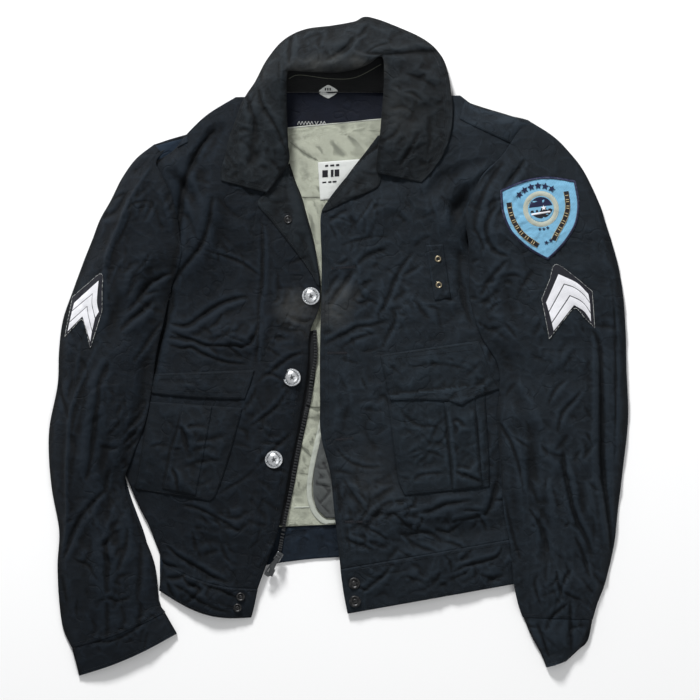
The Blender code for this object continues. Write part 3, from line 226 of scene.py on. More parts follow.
SLEEVE_RIGHT_CREASES = [
    Crease([
        (-236, 229), (-246, 214), (-258, 196), (-269, 176), (-277, 154),
        (-288, 129), (-294, 107), (-295, 85), (-293, 59), (-293, 27),
    ], 4, 2.6, 0),
    Crease([(-265, 168), (-272, 151), (-280, 133)], 2.6, 1.3, 0),
    Crease([(-267, 118), (-277, 104), (-285, 90), (-293, 64)], 2.6, 1.5, 0),
    Crease([(-269, 194), (-280, 173), (-299, 162)], 4, -2.2, 0.4),
    Crease([(-252, 199), (-260, 179), (-267, 158), (-280, 130), (-289, 107)], 5, -1.8, 0),
    Crease(
        [(-211, 93), (-227, 87), (-239, 81), (-248, 68), (-257, 55), (-267, 43)], 3.6, -2.8, 0.6,
    ),
    Crease([(-236, 57), (-248, 45), (-261, 35), (-276, 20)], 4, -3.2, 0.6),
    Crease([(-222, 33), (-233, 19), (-242, 5), (-250, -7), (-261, -21)], 2.6, -1.8, 0.5),
    Crease([
        (-290, -17), (-298, -34), (-303, -49), (-304, -68), (-307, -87),
        (-309, -106), (-311, -125), (-313, -141), (-319, -169),
    ], 4.4, -3.2, -0.5),
    Crease([(-291, -23), (-294, -35), (-298, -44)], 2, -1.3, 0),
    Crease([(-354, -37), (-351, -58), (-346, -75), (-341, -94)], 3, -2.2, 0),
    Crease([
        (-305, 3), (-314, -18), (-323, -40), (-332, -61), (-340, -87), (-342, -119),
        (-344, -150), (-344, -182), (-344, -214), (-346, -239), (-351, -262),
    ], 3.6, 3, 0),
    Crease([(-323, -65), (-330, -88), (-336, -114)], 2.6, 1.3, 0),
    Crease([(-327, 6), (-330, -20), (-335, -47)], 2.6, 1.2, 0),
    Crease([
        (-295, -181), (-305, -192), (-316, -204), (-326, -216),
        (-335, -233), (-341, -249), (-349, -270),
    ], 3.6, -3, 0.6),
    Crease([(-307, -204), (-317, -213), (-323, -223)], 2.6, -1.6, 0.4),
    Crease([(-288, -154), (-293, -169), (-295, -187)], 2.2, -1.5, 0.4),
    Crease([(-242, -70), (-253, -89), (-265, -103), (-276, -116)], 3, -1.8, 0.5),
    Crease([(-248, -96), (-261, -111), (-274, -126)], 2.4, -1.6, 0.5),
    Crease([(-247, -108), (-258, -122), (-271, -134)], 2, -1.2, 0.4),
    Crease([(-302, -126), (-288, -129), (-275, -126)], 3, -1.2, 0.4),
    Crease([(-295, -243), (-293, -265), (-293, -286), (-294, -312)], 3.6, -2.6, 0.4),
    Crease([(-267, -230), (-269, -252), (-274, -267), (-281, -286)], 2.8, -2, 0.4),
    Crease([(-251, -248), (-251, -277), (-253, -303), (-255, -328)], 4, -2, 0),
    Crease([(-308, -256), (-318, -268), (-323, -281)], 2, -1, 0.3),
    Crease([(-338, -266), (-328, -272), (-316, -277), (-308, -290), (-298, -303)], 2, -1.1, 0.4),
    Crease([(-351, -290), (-347, -309), (-344, -328)], 3, -1.8, 0),
    Crease([(-280, -195), (-290, -220), (-295, -246)], 5, 1.6, 0),
    Crease([(-275, -138), (-267, -157), (-275, -182)], 5, -1.6, 0),
    Crease([(-338, -112), (-333, -131), (-338, -157)], 4, -1.2, 0),
    Crease([(-239, 186), (-229, 167), (-223, 142)], 4, -1, 0),
    Crease([(-227, 199), (-217, 173), (-211, 146)], 5, 1.4, 0),
]
CUFF_RIGHT_CREASES = [
    Crease([(-305, -322), (-290, -318), (-280, -322), (-262, -317)], 2.4, -1.4, 0.4),
    Crease([(-251, -322), (-251, -341), (-255, -360)], 3.4, -2, 0),
    Crease([(-293, -322), (-293, -347), (-294, -373)], 3.4, -2, 0),
    Crease([
        (-323, -383), (-305, -374), (-288, -373),
        (-264, -362), (-248, -350), (-229, -337),
    ], 2.4, -1.4, 0.4),
    Crease([(-316, -341), (-308, -354), (-313, -373)], 3, -1.2, 0),
    Crease([(-275, -328), (-271, -345), (-276, -360)], 3, -1.4, 0),
]
SLEEVE_LEFT_CREASES = [
    Crease([(236, 237), (223, 218), (208, 199)], 4, -2.6, 0.4),
    Crease([(209, 234), (195, 214), (181, 191)], 4, -2.2, 0),
    Crease([(187, 199), (178, 180), (173, 161), (172, 144)], 4, -2.2, 0.4),
    Crease(
        [(203, 180), (192, 168), (187, 153), (189, 135), (199, 120), (215, 114)], 3.2, -2.2, 0.5,
    ),
    Crease([(171, 151), (180, 135), (185, 120)], 3, -1.6, 0),
    Crease([(213, 109), (200, 95), (190, 82), (180, 64)], 2.8, -1.9, 0.6),
    Crease([(205, 72), (191, 62), (180, 46)], 3, -1.2, 0),
    Crease([(182, 29), (192, 21), (206, 25)], 2.4, -1.2, 0.4),
    Crease([(209, 31), (218, 21), (225, 11)], 2.4, -1.1, 0.4),
    Crease([(247, 97), (233, 78), (224, 59)], 4, -1.4, 0),
    Crease([(289, -41), (277, -51), (270, -61), (265, -74)], 2.4, -1.5, 0.5),
    Crease([(308, -54), (297, -68), (285, -81), (280, -93), (277, -108)], 2.6, -1.8, 0.5),
    Crease([(243, -9), (256, -16), (271, -20)], 4, -1.2, 0),
    Crease([(307, -4), (289, -20), (276, -37)], 4, -1, 0),
    Crease([
        (203, -94), (210, -107), (218, -120), (223, -134),
        (228, -149), (231, -164), (234, -185),
    ], 2.6, -1.9, 0.5),
    Crease([(219, -114), (231, -121), (242, -129)], 2, -1.2, 0.4),
    Crease([
        (284, -131), (285, -150), (289, -169), (293, -188),
        (297, -208), (303, -223), (311, -237), (318, -255),
    ], 3.4, -3, 0.6),
    Crease([(299, -241), (309, -261), (318, -293)], 2.6, -1.7, 0.4),
    Crease([(241, -205), (252, -221), (260, -239), (266, -261)], 2.8, -1.7, 0.5),
    Crease([
        (322, 21), (330, 2), (332, -30), (333, -68), (333, -106),
        (333, -138), (336, -169), (340, -201), (344, -233), (346, -261),
    ], 4, -4.6, -0.5),
    Crease([(347, 78), (350, 34), (351, -31), (351, -93), (349, -157)], 1.8, -1.4, 0.5),
    Crease([(332, -17), (338, -25), (346, -32)], 2, -0.9, 0),
    Crease([(332, -116), (319, -129), (309, -144)], 3, -1.2, 0.3),
    Crease([(312, -125), (303, -134), (298, -147)], 3, -1, 0),
    Crease([(210, -188), (215, -214), (223, -246), (231, -271)], 3.4, -1.8, 0),
    Crease([(253, -288), (248, -300), (256, -328)], 2.4, -1.3, 0.4),
    Crease([(295, -281), (285, -296), (279, -317)], 2.8, -1.6, 0.4),
    Crease([(262, -169), (269, -195), (272, -220)], 8, 1.4, 0),
    Crease([(313, -169), (322, -201), (328, -233)], 7, 1.5, 0),
    Crease([(224, -42), (243, -68), (256, -106)], 12, 1.2, 0),
]
CUFF_LEFT_CREASES = [
    Crease([(261, -362), (266, -350), (271, -341), (291, -324)], 2.8, -1.7, 0.5),
    Crease([(293, -322), (294, -354), (295, -385)], 3, -2, 0.4),
    Crease([(303, -380), (316, -373), (317, -357)], 2.6, -1.5, 0),
    Crease([(251, -350), (260, -373), (267, -395)], 2.6, -1.8, 0),
]
COLLAR_CREASES = [
    Crease([(-58, 397), (-62, 377), (-62, 356)], 3.4, -2.4, 0.5),
    Crease([(21, 393), (13, 382), (-3, 368), (-17, 361)], 4, -2.6, 0.5),
    Crease([(35, 396), (22, 383), (17, 373), (35, 367), (54, 367)], 3.4, 2, 0),
    Crease([(32, 370), (55, 369), (78, 370), (104, 373), (130, 374)], 4, -2.2, 0.5),
    Crease([(-117, 321), (-112, 303), (-107, 288), (-106, 266)], 3, -2.2, 0.4),
    Crease([(-102, 330), (-97, 307), (-87, 290), (-78, 275), (-67, 248)], 3, -1.8, 0.4),
    Crease([(-137, 303), (-144, 285), (-148, 266), (-144, 247), (-140, 229)], 3.4, -1.8, 0),
    Crease([(46, 255), (60, 261), (72, 269), (79, 283)], 3, -1.6, 0.4),
    Crease([(77, 229), (90, 247), (102, 270)], 3, -1.8, 0.5),
    Crease([(111, 242), (116, 262), (114, 295)], 3.6, -1.8, 0),
    Crease([(-43, 405), (-45, 387), (-41, 369)], 4, -1, 0),
    Crease([(-21, 408), (-17, 392), (-23, 377)], 5, 1.2, 0),
    Crease([(-90, 364), (-97, 349), (-97, 334)], 5, -1.6, 0),
    Crease([(84, 345), (104, 339), (124, 326)], 5, -1.8, 0.4),
    Crease([(76, 323), (93, 313), (109, 308)], 5, 1.4, 0),
    Crease([(65, 300), (81, 303), (96, 295)], 3, -1, 0.3),
    Crease([(-125, 262), (-112, 252), (-102, 237)], 3, -1, 0),
    Crease([(-87, 237), (-77, 227), (-69, 214)], 3, -1.1, 0),
]
LAPEL_RIGHT_CREASES = [
    Crease([(-64, 229), (-65, 205), (-65, 180)], 1.8, -1.6, 0.5),
    Crease([(-90, 186), (-77, 182), (-62, 186)], 3, -0.8, 0),
    Crease([(-54, 148), (-44, 133), (-36, 115)], 4, -0.8, 0),
]
LAPEL_LEFT_CREASES = [
    Crease([(8, 191), (22, 204), (37, 214)], 4, -0.9, 0),
]
LINING_CREASES = [
    Crease([(-60, 259), (-51, 251), (-43, 245), (-26, 236)], 2.4, -1.6, 0),
    Crease([(-46, 189), (-36, 187), (-23, 189)], 2, -1.2, 0),
    Crease([(8, 271), (21, 259), (30, 247), (37, 240)], 3, -1.2, 0.4),
    Crease([(-11, 262), (-1, 250), (8, 241)], 4, -0.9, 0),
    Crease([(-39, -77), (-31, -77), (-23, -78)], 2, -1.4, 0),
    Crease([(-49, -126), (-41, -131), (-34, -140)], 2.2, -1.6, 0.4),
    Crease([(-55, -162), (-46, -162), (-36, -162)], 2, -1.4, 0),
    Crease([(-60, -205), (-51, -205), (-41, -204)], 3, 1.4, 0),
    Crease([(-17, 212), (-11, 173), (-21, 135)], 5, 1, 0),
    Crease([(-41, 173), (-34, 158), (-31, 135)], 3, -1, 0),
    Crease([(-30, -183), (-17, -172), (-10, -162)], 2.6, -1.4, 0.4),
]
LINER_CREASES = [
    Crease([(-26, -157), (-22, -163), (-20, -167)], 2, -1, 0),
    Crease([(-29, -174), (-18, -176), (-10, -178)], 1.8, -1.5, 0.4),
    Crease([(-10, -181), (-16, -191), (-25, -200)], 2, -1.6, 0.5),
    Crease([(-21, -145), (-15, -154), (-10, -167)], 2, -1.3, 0.4),
    Crease([(-11, -119), (-7, -144), (-7, -163)], 3, -1.6, 0),
]
BACK_WAIST_CREASES = [
    Crease([(-68, -241), (-54, -237), (-39, -234)], 3, -1.2, 0.3),
    Crease([(-49, -246), (-45, -256), (-48, -268)], 4, -0.8, 0),
    Crease([(-23, -233), (-20, -248), (-22, -266)], 5, -0.7, 0),
]

SCATTERS = {
    "front_right": [
        Scatter(-160, 130, 40, 60, 100, 40, 14, 0.5),
        Scatter(-140, 8, 60, 20, 8, 30, 26, 0.8),
        Scatter(-70, 20, 30, 60, 35, 50, 26, 0.6),
        Scatter(-60, 60, 30, 30, 20, 60, 12, 0.7),
        Scatter(-100, -90, 40, 70, 50, 40, 22, 0.55),
        Scatter(-150, -230, 60, 40, -30, 35, 34, 0.7),
        Scatter(-90, -190, 30, 90, 60, 60, 26, 0.45),
        Scatter(-120, 200, 50, 40, 40, 70, 12, 0.4),
    ],
    "front_left": [
        Scatter(20, 150, 40, 60, 55, 40, 26, 0.5),
        Scatter(20, 60, 40, 40, 60, 40, 24, 0.7),
        Scatter(90, 60, 70, 50, 60, 60, 40, 0.55),
        Scatter(25, -60, 30, 60, 80, 60, 16, 0.45),
        Scatter(90, -225, 110, 35, 8, 35, 60, 0.8),
        Scatter(25, -200, 30, 60, -55, 40, 26, 0.7),
        Scatter(200, -120, 40, 90, 80, 30, 14, 0.5),
        Scatter(120, 200, 40, 60, 80, 40, 14, 0.5),
    ],
    "pocket_right": [Scatter(-195, -130, 60, 55, 10, 50, 26, 0.5)],
    "pocket_left": [Scatter(125, -120, 60, 60, 20, 50, 34, 0.5)],
    "flap_right": [Scatter(-170, -50, 60, 20, 10, 50, 12, 0.4)],
    "flap_left": [Scatter(125, -30, 60, 30, 10, 50, 16, 0.45)],
    "waist_right": [Scatter(-170, -305, 60, 25, -25, 40, 26, 0.7)],
    "waist_left": [Scatter(110, -290, 120, 30, 15, 35, 50, 0.6)],
    "sleeve_right": [
        Scatter(-255, 180, 40, 60, 65, 20, 26, 0.6),
        Scatter(-250, 80, 40, 50, 40, 25, 26, 0.8),
        Scatter(-320, 0, 40, 120, 75, 15, 34, 0.6),
        Scatter(-270, -110, 30, 50, 45, 25, 26, 0.7),
        Scatter(-300, -230, 50, 90, 75, 30, 44, 0.6),
        Scatter(-300, -300, 50, 60, 88, 15, 26, 0.6),
    ],
    "sleeve_left": [
        Scatter(210, 170, 40, 60, 60, 35, 26, 0.7),
        Scatter(190, 60, 40, 60, 50, 40, 34, 0.7),
        Scatter(270, -10, 60, 60, 50, 40, 34, 0.5),
        Scatter(280, -160, 60, 110, -70, 18, 50, 0.6),
        Scatter(345, 60, 15, 120, 88, 12, 18, 0.4),
        Scatter(280, -290, 50, 50, -75, 25, 34, 0.6),
    ],
    "cuff_right": [Scatter(-280, -370, 50, 30, 70, 40, 16, 0.5)],
    "cuff_left": [Scatter(280, -370, 40, 30, 70, 40, 14, 0.5)],
    "collar": [
        Scatter(-100, 250, 40, 60, 75, 30, 24, 0.6),
        Scatter(-20, 380, 70, 25, 80, 40, 22, 0.6),
        Scatter(95, 350, 40, 40, 30, 40, 18, 0.6),
        Scatter(95, 260, 40, 50, 65, 30, 22, 0.6),
    ],
    "lapel_right": [Scatter(-60, 160, 30, 50, 50, 50, 12, 0.4)],
    "lapel_left": [Scatter(25, 210, 30, 30, 50, 50, 10, 0.4)],
    "lining": [
        Scatter(-20, 170, 60, 80, 60, 60, 30, 0.6),
        Scatter(-30, -120, 40, 90, 20, 50, 34, 0.6),
    ],
    "liner": [Scatter(-15, -160, 20, 50, 40, 60, 22, 0.6)],
    "back_waist": [Scatter(-30, -250, 60, 20, 70, 50, 20, 0.4)],
}


# ---- Surfaces --------------------------------------------------------------------------------

def welded(node):
    """Points of a CAD piece in mm with its doubles merged, and its triangles."""
    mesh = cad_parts[node].data
    places, points, index = {}, [], []
    for vertex in mesh.vertices:
        key = tuple(round(c * 2e5) for c in vertex.co)
        if key not in places:
            places[key] = len(points)
            points.append([c / METRE for c in vertex.co])
        index.append(places[key])
    return np.array(points), [[index[v] for v in face.vertices] for face in mesh.polygons]


def grid_of(node, columns, corner):
    """Upper face of a CAD cloth as rows of points, its first row clockwise from the corner."""
    points, triangles = welded(node)
    third = {}
    for a, b, c in triangles:
        normal = np.cross(points[b] - points[a], points[c] - points[a])
        if normal[2] > 0.02 * np.linalg.norm(normal):
            third[a, b], third[b, c], third[c, a] = c, a, b
    clockwise = {b: a for a, b in third if (b, a) not in third}
    counter = {a: b for b, a in clockwise.items()}
    start = min(clockwise, key=lambda v: math.dist(points[v][:2], corner))
    row, side = [start], [start]
    for _ in range(columns):
        row.append(clockwise[row[-1]])
    for _ in range((len(clockwise) - 2 * columns) // 2):
        side.append(counter[side[-1]])
    rows = [row]
    for left in side[1:]:
        below = [left]
        for a, b in zip(rows[-1], rows[-1][1:]):
            c = third[b, a]
            below.append(third[b, c] if c == below[-1] else c)
        rows.append(below)
    return points[np.array(rows)]


def scanned(node, columns, step=12.0):
    """Upper face of a nearly flat CAD cloth, read across line by line from its top down."""
    points, triangles = welded(node)
    tree = BVHTree.FromPolygons(points.tolist(), triangles)
    ends = points[[(t[i], t[i - 1]) for t in triangles for i in range(3)]]
    high, low = points[:, 1].max() - 0.05, points[:, 1].min() + 0.05
    rows = []
    for y in np.linspace(high, low, max(3, round((high - low) / step))):
        a, b = ends[:, 0], ends[:, 1]
        crossing = (a[:, 1] - y) * (b[:, 1] - y) < 0
        a, b = a[crossing], b[crossing]
        x = a[:, 0] + (b[:, 0] - a[:, 0]) * (y - a[:, 1]) / (b[:, 1] - a[:, 1])
        row = []
        for k in range(columns + 1):
            spot = x.min() + (x.max() - x.min()) * k / columns
            inner = spot * 0.998 + (x.min() + x.max()) * 0.001
            hit = tree.ray_cast(Vector((inner, y, 200)), Vector((0, 0, -1)))[0]
            row.append((spot, y, hit.z if hit else points[:, 2].max()))
        rows.append(row)
    return np.array(rows)


def curve_weights(count, places):
    """Weights of a smooth curve through a run of points, one row for each place on it."""
    weights = np.zeros((len(places), count))
    for n, t in enumerate(places):
        i = min(int(t), count - 2)
        f = t - i
        for k, w in (
            (i - 1, -0.5 * f + f * f - 0.5 * f**3), (i, 1 - 2.5 * f * f + 1.5 * f**3),
            (i + 1, 0.5 * f + 2 * f * f - 1.5 * f**3), (i + 2, -0.5 * f * f + 0.5 * f**3),
        ):
            if k < 0:
                weights[n, 0] += 2 * w
                weights[n, 1] -= w
            elif k >= count:
                weights[n, count - 1] += 2 * w
                weights[n, count - 2] -= w
            else:
                weights[n, k] += w
    return weights


def even_places(steps, cell):
    places = []
    for i, length in enumerate(steps):
        count = max(1, round(length / cell))
        places += [i + k / count for k in range(count)]
    return places + [len(steps)]


def refined(grid, cell=CELL):
    """A finer grid on the smooth surface through a coarse one."""
    down = np.linalg.norm(np.diff(grid, axis=0), axis=2).mean(axis=1)
    across = np.linalg.norm(np.diff(grid, axis=1), axis=2).mean(axis=0)
    rows = curve_weights(grid.shape[0], even_places(down, cell))
    columns = curve_weights(grid.shape[1], even_places(across, cell))
    return np.einsum("ri,ijk,cj->rck", rows, grid, columns)


def smooth_route(route, step=4.0):
    points = np.array(route, float)
    lengths = np.linalg.norm(np.diff(points, axis=0), axis=1)
    return curve_weights(len(points), even_places(lengths, step)) @ points


def crease_height(crease, x, y):
    """Height that a crease adds at points, fading towards its two ends."""
    route = smooth_route(crease.route)
    reach = 4 * crease.width
    total = np.zeros_like(x)
    near = (
        (x > route[:, 0].min() - reach) & (x < route[:, 0].max() + reach)
        & (y > route[:, 1].min() - reach) & (y < route[:, 1].max() + reach)
    )
    px, py = x[near], y[near]
    if not len(px):
        return total
    best = np.full(len(px), 1e9)
    side = np.zeros(len(px))
    place = np.zeros(len(px))
    for i, (a, b) in enumerate(zip(route, route[1:])):
        dx, dy = b - a
        t = np.clip(((px - a[0]) * dx + (py - a[1]) * dy) / (dx * dx + dy * dy + 1e-9), 0, 1)
        ox, oy = px - a[0] - t * dx, py - a[1] - t * dy
        distance = np.hypot(ox, oy)
        closer = distance < best
        best = np.where(closer, distance, best)
        side = np.where(closer, np.sign(dx * oy - dy * ox), side)
        place = np.where(closer, (i + t) / (len(route) - 1), place)
    fade = np.clip(np.sin(np.pi * np.clip(place, 0, 1)), 0, 1) ** 0.5
    width = crease.width * (0.45 + 0.55 * fade)
    d = best / width
    height = crease.height * np.exp(-1.3 * d ** 1.25)
    if crease.lip:
        on_side = side * np.sign(crease.lip) > 0
        lip = abs(crease.height * crease.lip) * np.exp(-((d - 1.9) / 1.5) ** 2)
        height = height + np.where(on_side, lip, 0.3 * lip)
    total[near] = height * fade
    return total


def undulation(x, y, seed, size, height):
    """Slow waves in many directions."""
    picker = random.Random(seed)
    total = np.zeros_like(x)
    for _ in range(9):
        angle = picker.uniform(0, math.tau)
        length = size * picker.uniform(0.6, 1.7)
        phase = picker.uniform(0, math.tau)
        total += np.sin(math.tau * (x * math.cos(angle) + y * math.sin(angle)) / length + phase)
    return total * height / 3


def facets(x, y, seed, size, height):
    """Soft crumple: cells that tilt their own way and meet in low ridges."""
    picker = np.random.default_rng(seed)
    wx = x + undulation(x, y, seed + 1, size * 2.2, size * 0.25)
    wy = y + undulation(x, y, seed + 2, size * 2.2, size * 0.25)
    cx, cy = np.floor(wx / size).astype(int), np.floor(wy / size).astype(int)
    nearest = np.full(x.shape, 1e9)
    second = np.full(x.shape, 1e9)
    table = picker.random((64, 64, 2))
    for dx in (-1, 0, 1):
        for dy in (-1, 0, 1):
            gx, gy = cx + dx, cy + dy
            seedling = table[gx % 64, gy % 64]
            d = np.hypot(wx - (gx + seedling[..., 0]) * size, wy - (gy + seedling[..., 1]) * size)
            second = np.where(d < nearest, nearest, np.minimum(second, d))
            nearest = np.minimum(nearest, d)
    ridge = np.exp(-((second - nearest) / (0.18 * size)) ** 1.2)
    return height * (ridge - 0.35 * nearest / size)


def small_creases(scatters, seed):
    """Seeded short creases in the given places and headings."""
    picker = random.Random(seed)
    made = []
    for s in scatters:
        for _ in range(s.count):
            x = picker.gauss(s.x, s.reach_x * 0.5)
            y = picker.gauss(s.y, s.reach_y * 0.5)
            heading = math.radians(picker.gauss(s.heading, s.spread))
            length = picker.uniform(7, 34)
            turn = picker.gauss(0, 0.35)
            route = [(x, y)]
            for _ in range(3):
                heading += turn * picker.uniform(0.2, 1.0)
                x += math.cos(heading) * length / 3
                y += math.sin(heading) * length / 3
                route.append((x, y))
            width = picker.uniform(1.8, 3.6)
            height = s.height * picker.uniform(0.35, 1.3) * (-1 if picker.random() < 0.72 else 0.8)
            made.append(Crease(route, width, height, picker.choice((-0.5, 0, 0.5, 0.6))))
    return made


def relief(rows, creases, scatter, seed, calm=1.0):
    """Creases, small wrinkles and slow waves of a cloth, as heights on its grid."""
    x, y = rows[..., 0].ravel(), rows[..., 1].ravel()
    total = undulation(x, y, seed, 62, 0.7 * calm) + undulation(x, y, seed + 5, 27, 0.22 * calm)
    total += facets(x, y, seed + 9, 19, 0.55 * calm) + facets(x, y, seed + 11, 9.5, 0.3 * calm)
    for crease in creases:
        total += 1.35 * crease_height(crease, x, y)
    for crease in small_creases(SCATTERS.get(scatter, []), seed + 3):
        total += 1.9 * crease_height(crease, x, y)
    return total.reshape(rows.shape[:2])


def edge_distance(rows):
    """Rough distance in mm of each grid point to the nearest edge."""
    down = np.linalg.norm(np.diff(rows, axis=0), axis=2)
    across = np.linalg.norm(np.diff(rows, axis=1), axis=2)
    top = np.vstack([np.zeros(rows.shape[1]), np.cumsum(down, axis=0)])
    left = np.hstack([np.zeros((rows.shape[0], 1)), np.cumsum(across, axis=1)])
    return np.minimum(np.minimum(top, top[-1] - top), np.minimum(left, left[:, -1:] - left))


def blurred(height, times):
    for _ in range(times):
        padded = np.pad(height, 1, mode="edge")
        height = (
            padded[:-2, 1:-1] + padded[2:, 1:-1] + padded[1:-1, :-2] + padded[1:-1, 2:] + 2 * height
        ) / 6
    return height


TREES = {}             # search trees of the finished upper faces, by piece


def keep_tree(name, rows):
    across = rows.shape[1]
    faces = [
        (r * across + c, (r + 1) * across + c, (r + 1) * across + c + 1, r * across + c + 1)
        for r in range(rows.shape[0] - 1) for c in range(across - 1)
    ]
    TREES[name] = BVHTree.FromPolygons(rows.reshape(-1, 3).tolist(), faces)


def ground(rows, names):
    """Height of the highest named piece below each point, or the floor."""
    down = Vector((0, 0, -1))
    out = np.zeros(rows.shape[:2])
    for name in names:
        tree = TREES[name]
        for place in np.ndindex(out.shape):
            hit = tree.ray_cast(Vector((rows[place][0], rows[place][1], 200)), down)[0]
            if hit is not None and hit.z > out[place]:
                out[place] = hit.z
    return out


def link(name, mesh, material):
    thing = bpy.data.objects.new(name, mesh)
    bpy.context.scene.collection.objects.link(thing)
    mesh.materials.append(material)
    return thing


def sheet_mesh(name, rows, thickness):
    """Closed cloth of one thickness under its upper face, with rounded edges."""
    count_r, count_c = rows.shape[:2]
    base = rows - np.array([0, 0, thickness])
    rim = [(r, 0) for r in range(count_r - 1)] + [(count_r - 1, c) for c in range(count_c - 1)]
    rim += [(r, count_c - 1) for r in range(count_r - 1, 0, -1)]
    rim += [(0, c) for c in range(count_c - 1, 0, -1)]
    edge = np.array([rows[p] for p in rim])
    along = np.roll(edge, -1, axis=0) - np.roll(edge, 1, axis=0)
    out = np.stack([along[:, 1], -along[:, 0]], axis=1)
    out /= np.linalg.norm(out, axis=1)[:, None] + 1e-9
    middle = edge - np.array([0, 0, thickness / 2])
    middle[:, :2] += out * thickness * 0.35
    points = np.vstack([rows.reshape(-1, 3), base.reshape(-1, 3), middle]) * METRE
    total = count_r * count_c
    faces = []
    for r in range(count_r - 1):
        for c in range(count_c - 1):
            a, b = r * count_c + c, (r + 1) * count_c + c
            faces.append((a, b, b + 1, a + 1))
            faces.append((total + a, total + a + 1, total + b + 1, total + b))
    for n, place in enumerate(rim):
        m = (n + 1) % len(rim)
        a, b = place[0] * count_c + place[1], rim[m][0] * count_c + rim[m][1]
        faces.append((a, 2 * total + n, 2 * total + m, b))
        faces.append((2 * total + n, total + a, total + b, 2 * total + m))
    mesh = bpy.data.meshes.new(name)
    mesh.from_pydata(points.tolist(), [], faces)
    return mesh, rim


def lengths_of(rows):
    return np.linalg.norm(np.diff(rows, axis=0), axis=2).sum(axis=0).max()


def add_marks(mesh, rows, rim):
    """Grain map in metres, and how far each point stands proud or lies near an edge."""
    height = rows[..., 2]
    proud = np.clip((height - blurred(height, 14)) / 0.8, -1, 1)
    near_edge = np.clip(1 - edge_distance(rows) / 5, 0, 1)
    for name, values in (("proud", proud), ("edge", near_edge)):
        layer = mesh.attributes.new(name, "FLOAT", "POINT")
        flat = values.ravel()
        around = np.array([values[p] for p in rim])
        layer.data.foreach_set("value", np.concatenate([flat, flat, around]).astype(np.float32))
    down = np.linalg.norm(np.diff(rows, axis=0), axis=2)
    across = np.linalg.norm(np.diff(rows, axis=1), axis=2)
    v = np.vstack([np.zeros(rows.shape[1]), np.cumsum(down, axis=0)]) * METRE
    u = np.hstack([np.zeros((rows.shape[0], 1)), np.cumsum(across, axis=1)]) * METRE
    plan = np.stack([u, v], axis=2)
    flat = plan.reshape(-1, 2)
    around = np.array([plan[p] for p in rim])
    points = np.concatenate([flat, flat, around])
    corners = np.zeros(len(mesh.loops), dtype=np.int32)
    mesh.loops.foreach_get("vertex_index", corners)
    layer = mesh.uv_layers.new(name="grain")
    layer.data.foreach_set("uv", points[corners].astype(np.float32).ravel())


# Flat panels that lie square to the frame. Where their hem or neckline slants, their rows close
# to a corner and their columns run along it, so their length is read straight down instead.
UPRIGHT = ("back_panel", "back_lining")


def cloth_piece(name, rows, base, thickness, material, nodes):
    """Finished cloth on the frame, with the size of its cut taken before it was creased."""
    mesh, rim = sheet_mesh(name, rows, thickness)
    add_marks(mesh, rows, rim)
    thing = link(name, mesh, material)
    mesh.shade_smooth()
    keep_tree(nodes[0], rows)
    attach(thing, "jacket")
    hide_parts(*nodes)
    width = max(lengths_of(base.swapaxes(0, 1)) * METRE, 0.01)
    a, b, c, d = base[:-1, :-1], base[1:, :-1], base[1:, 1:], base[:-1, 1:]
    cross = np.cross(b - a, c - a), np.cross(c - a, d - a)
    area = 0.5 * sum(np.linalg.norm(part, axis=2).sum() for part in cross) * METRE**2
    length = np.median(np.linalg.norm(np.diff(base, axis=0), axis=2).sum(axis=0)) * METRE
    if nodes[0] in UPRIGHT:
        length = np.ptp(base[..., 1]) * METRE
    length = max(length, area / width)
    return thing


# ---- Finishes --------------------------------------------------------------------------------

class Value:
    """A shader socket that takes part in arithmetic."""

    def __init__(self, paint, socket):
        self.paint = paint
        self.socket = socket

    def math(self, operation, other=0.5, flip=False):
        first, second = (other, self) if flip else (self, other)
        return self.paint.node("ShaderNodeMath", {"operation": operation}, {0: first, 1: second})

    def __add__(self, other):
        return self.math("ADD", other)

    def __sub__(self, other):
        return self.math("SUBTRACT", other)

    def __rsub__(self, other):
        return self.math("SUBTRACT", other, True)

    def __mul__(self, other):
        return self.math("MULTIPLY", other)

    def __pow__(self, other):
        return self.math("POWER", other)

    __radd__ = __add__
    __rmul__ = __mul__

    def held(self, low, high):
        """0 below low, 1 above high, and even between."""
        return self.paint.node(
            "ShaderNodeMapRange", {"clamp": True}, {0: self, 1: low, 2: high, 3: 0.0, 4: 1.0}
        )


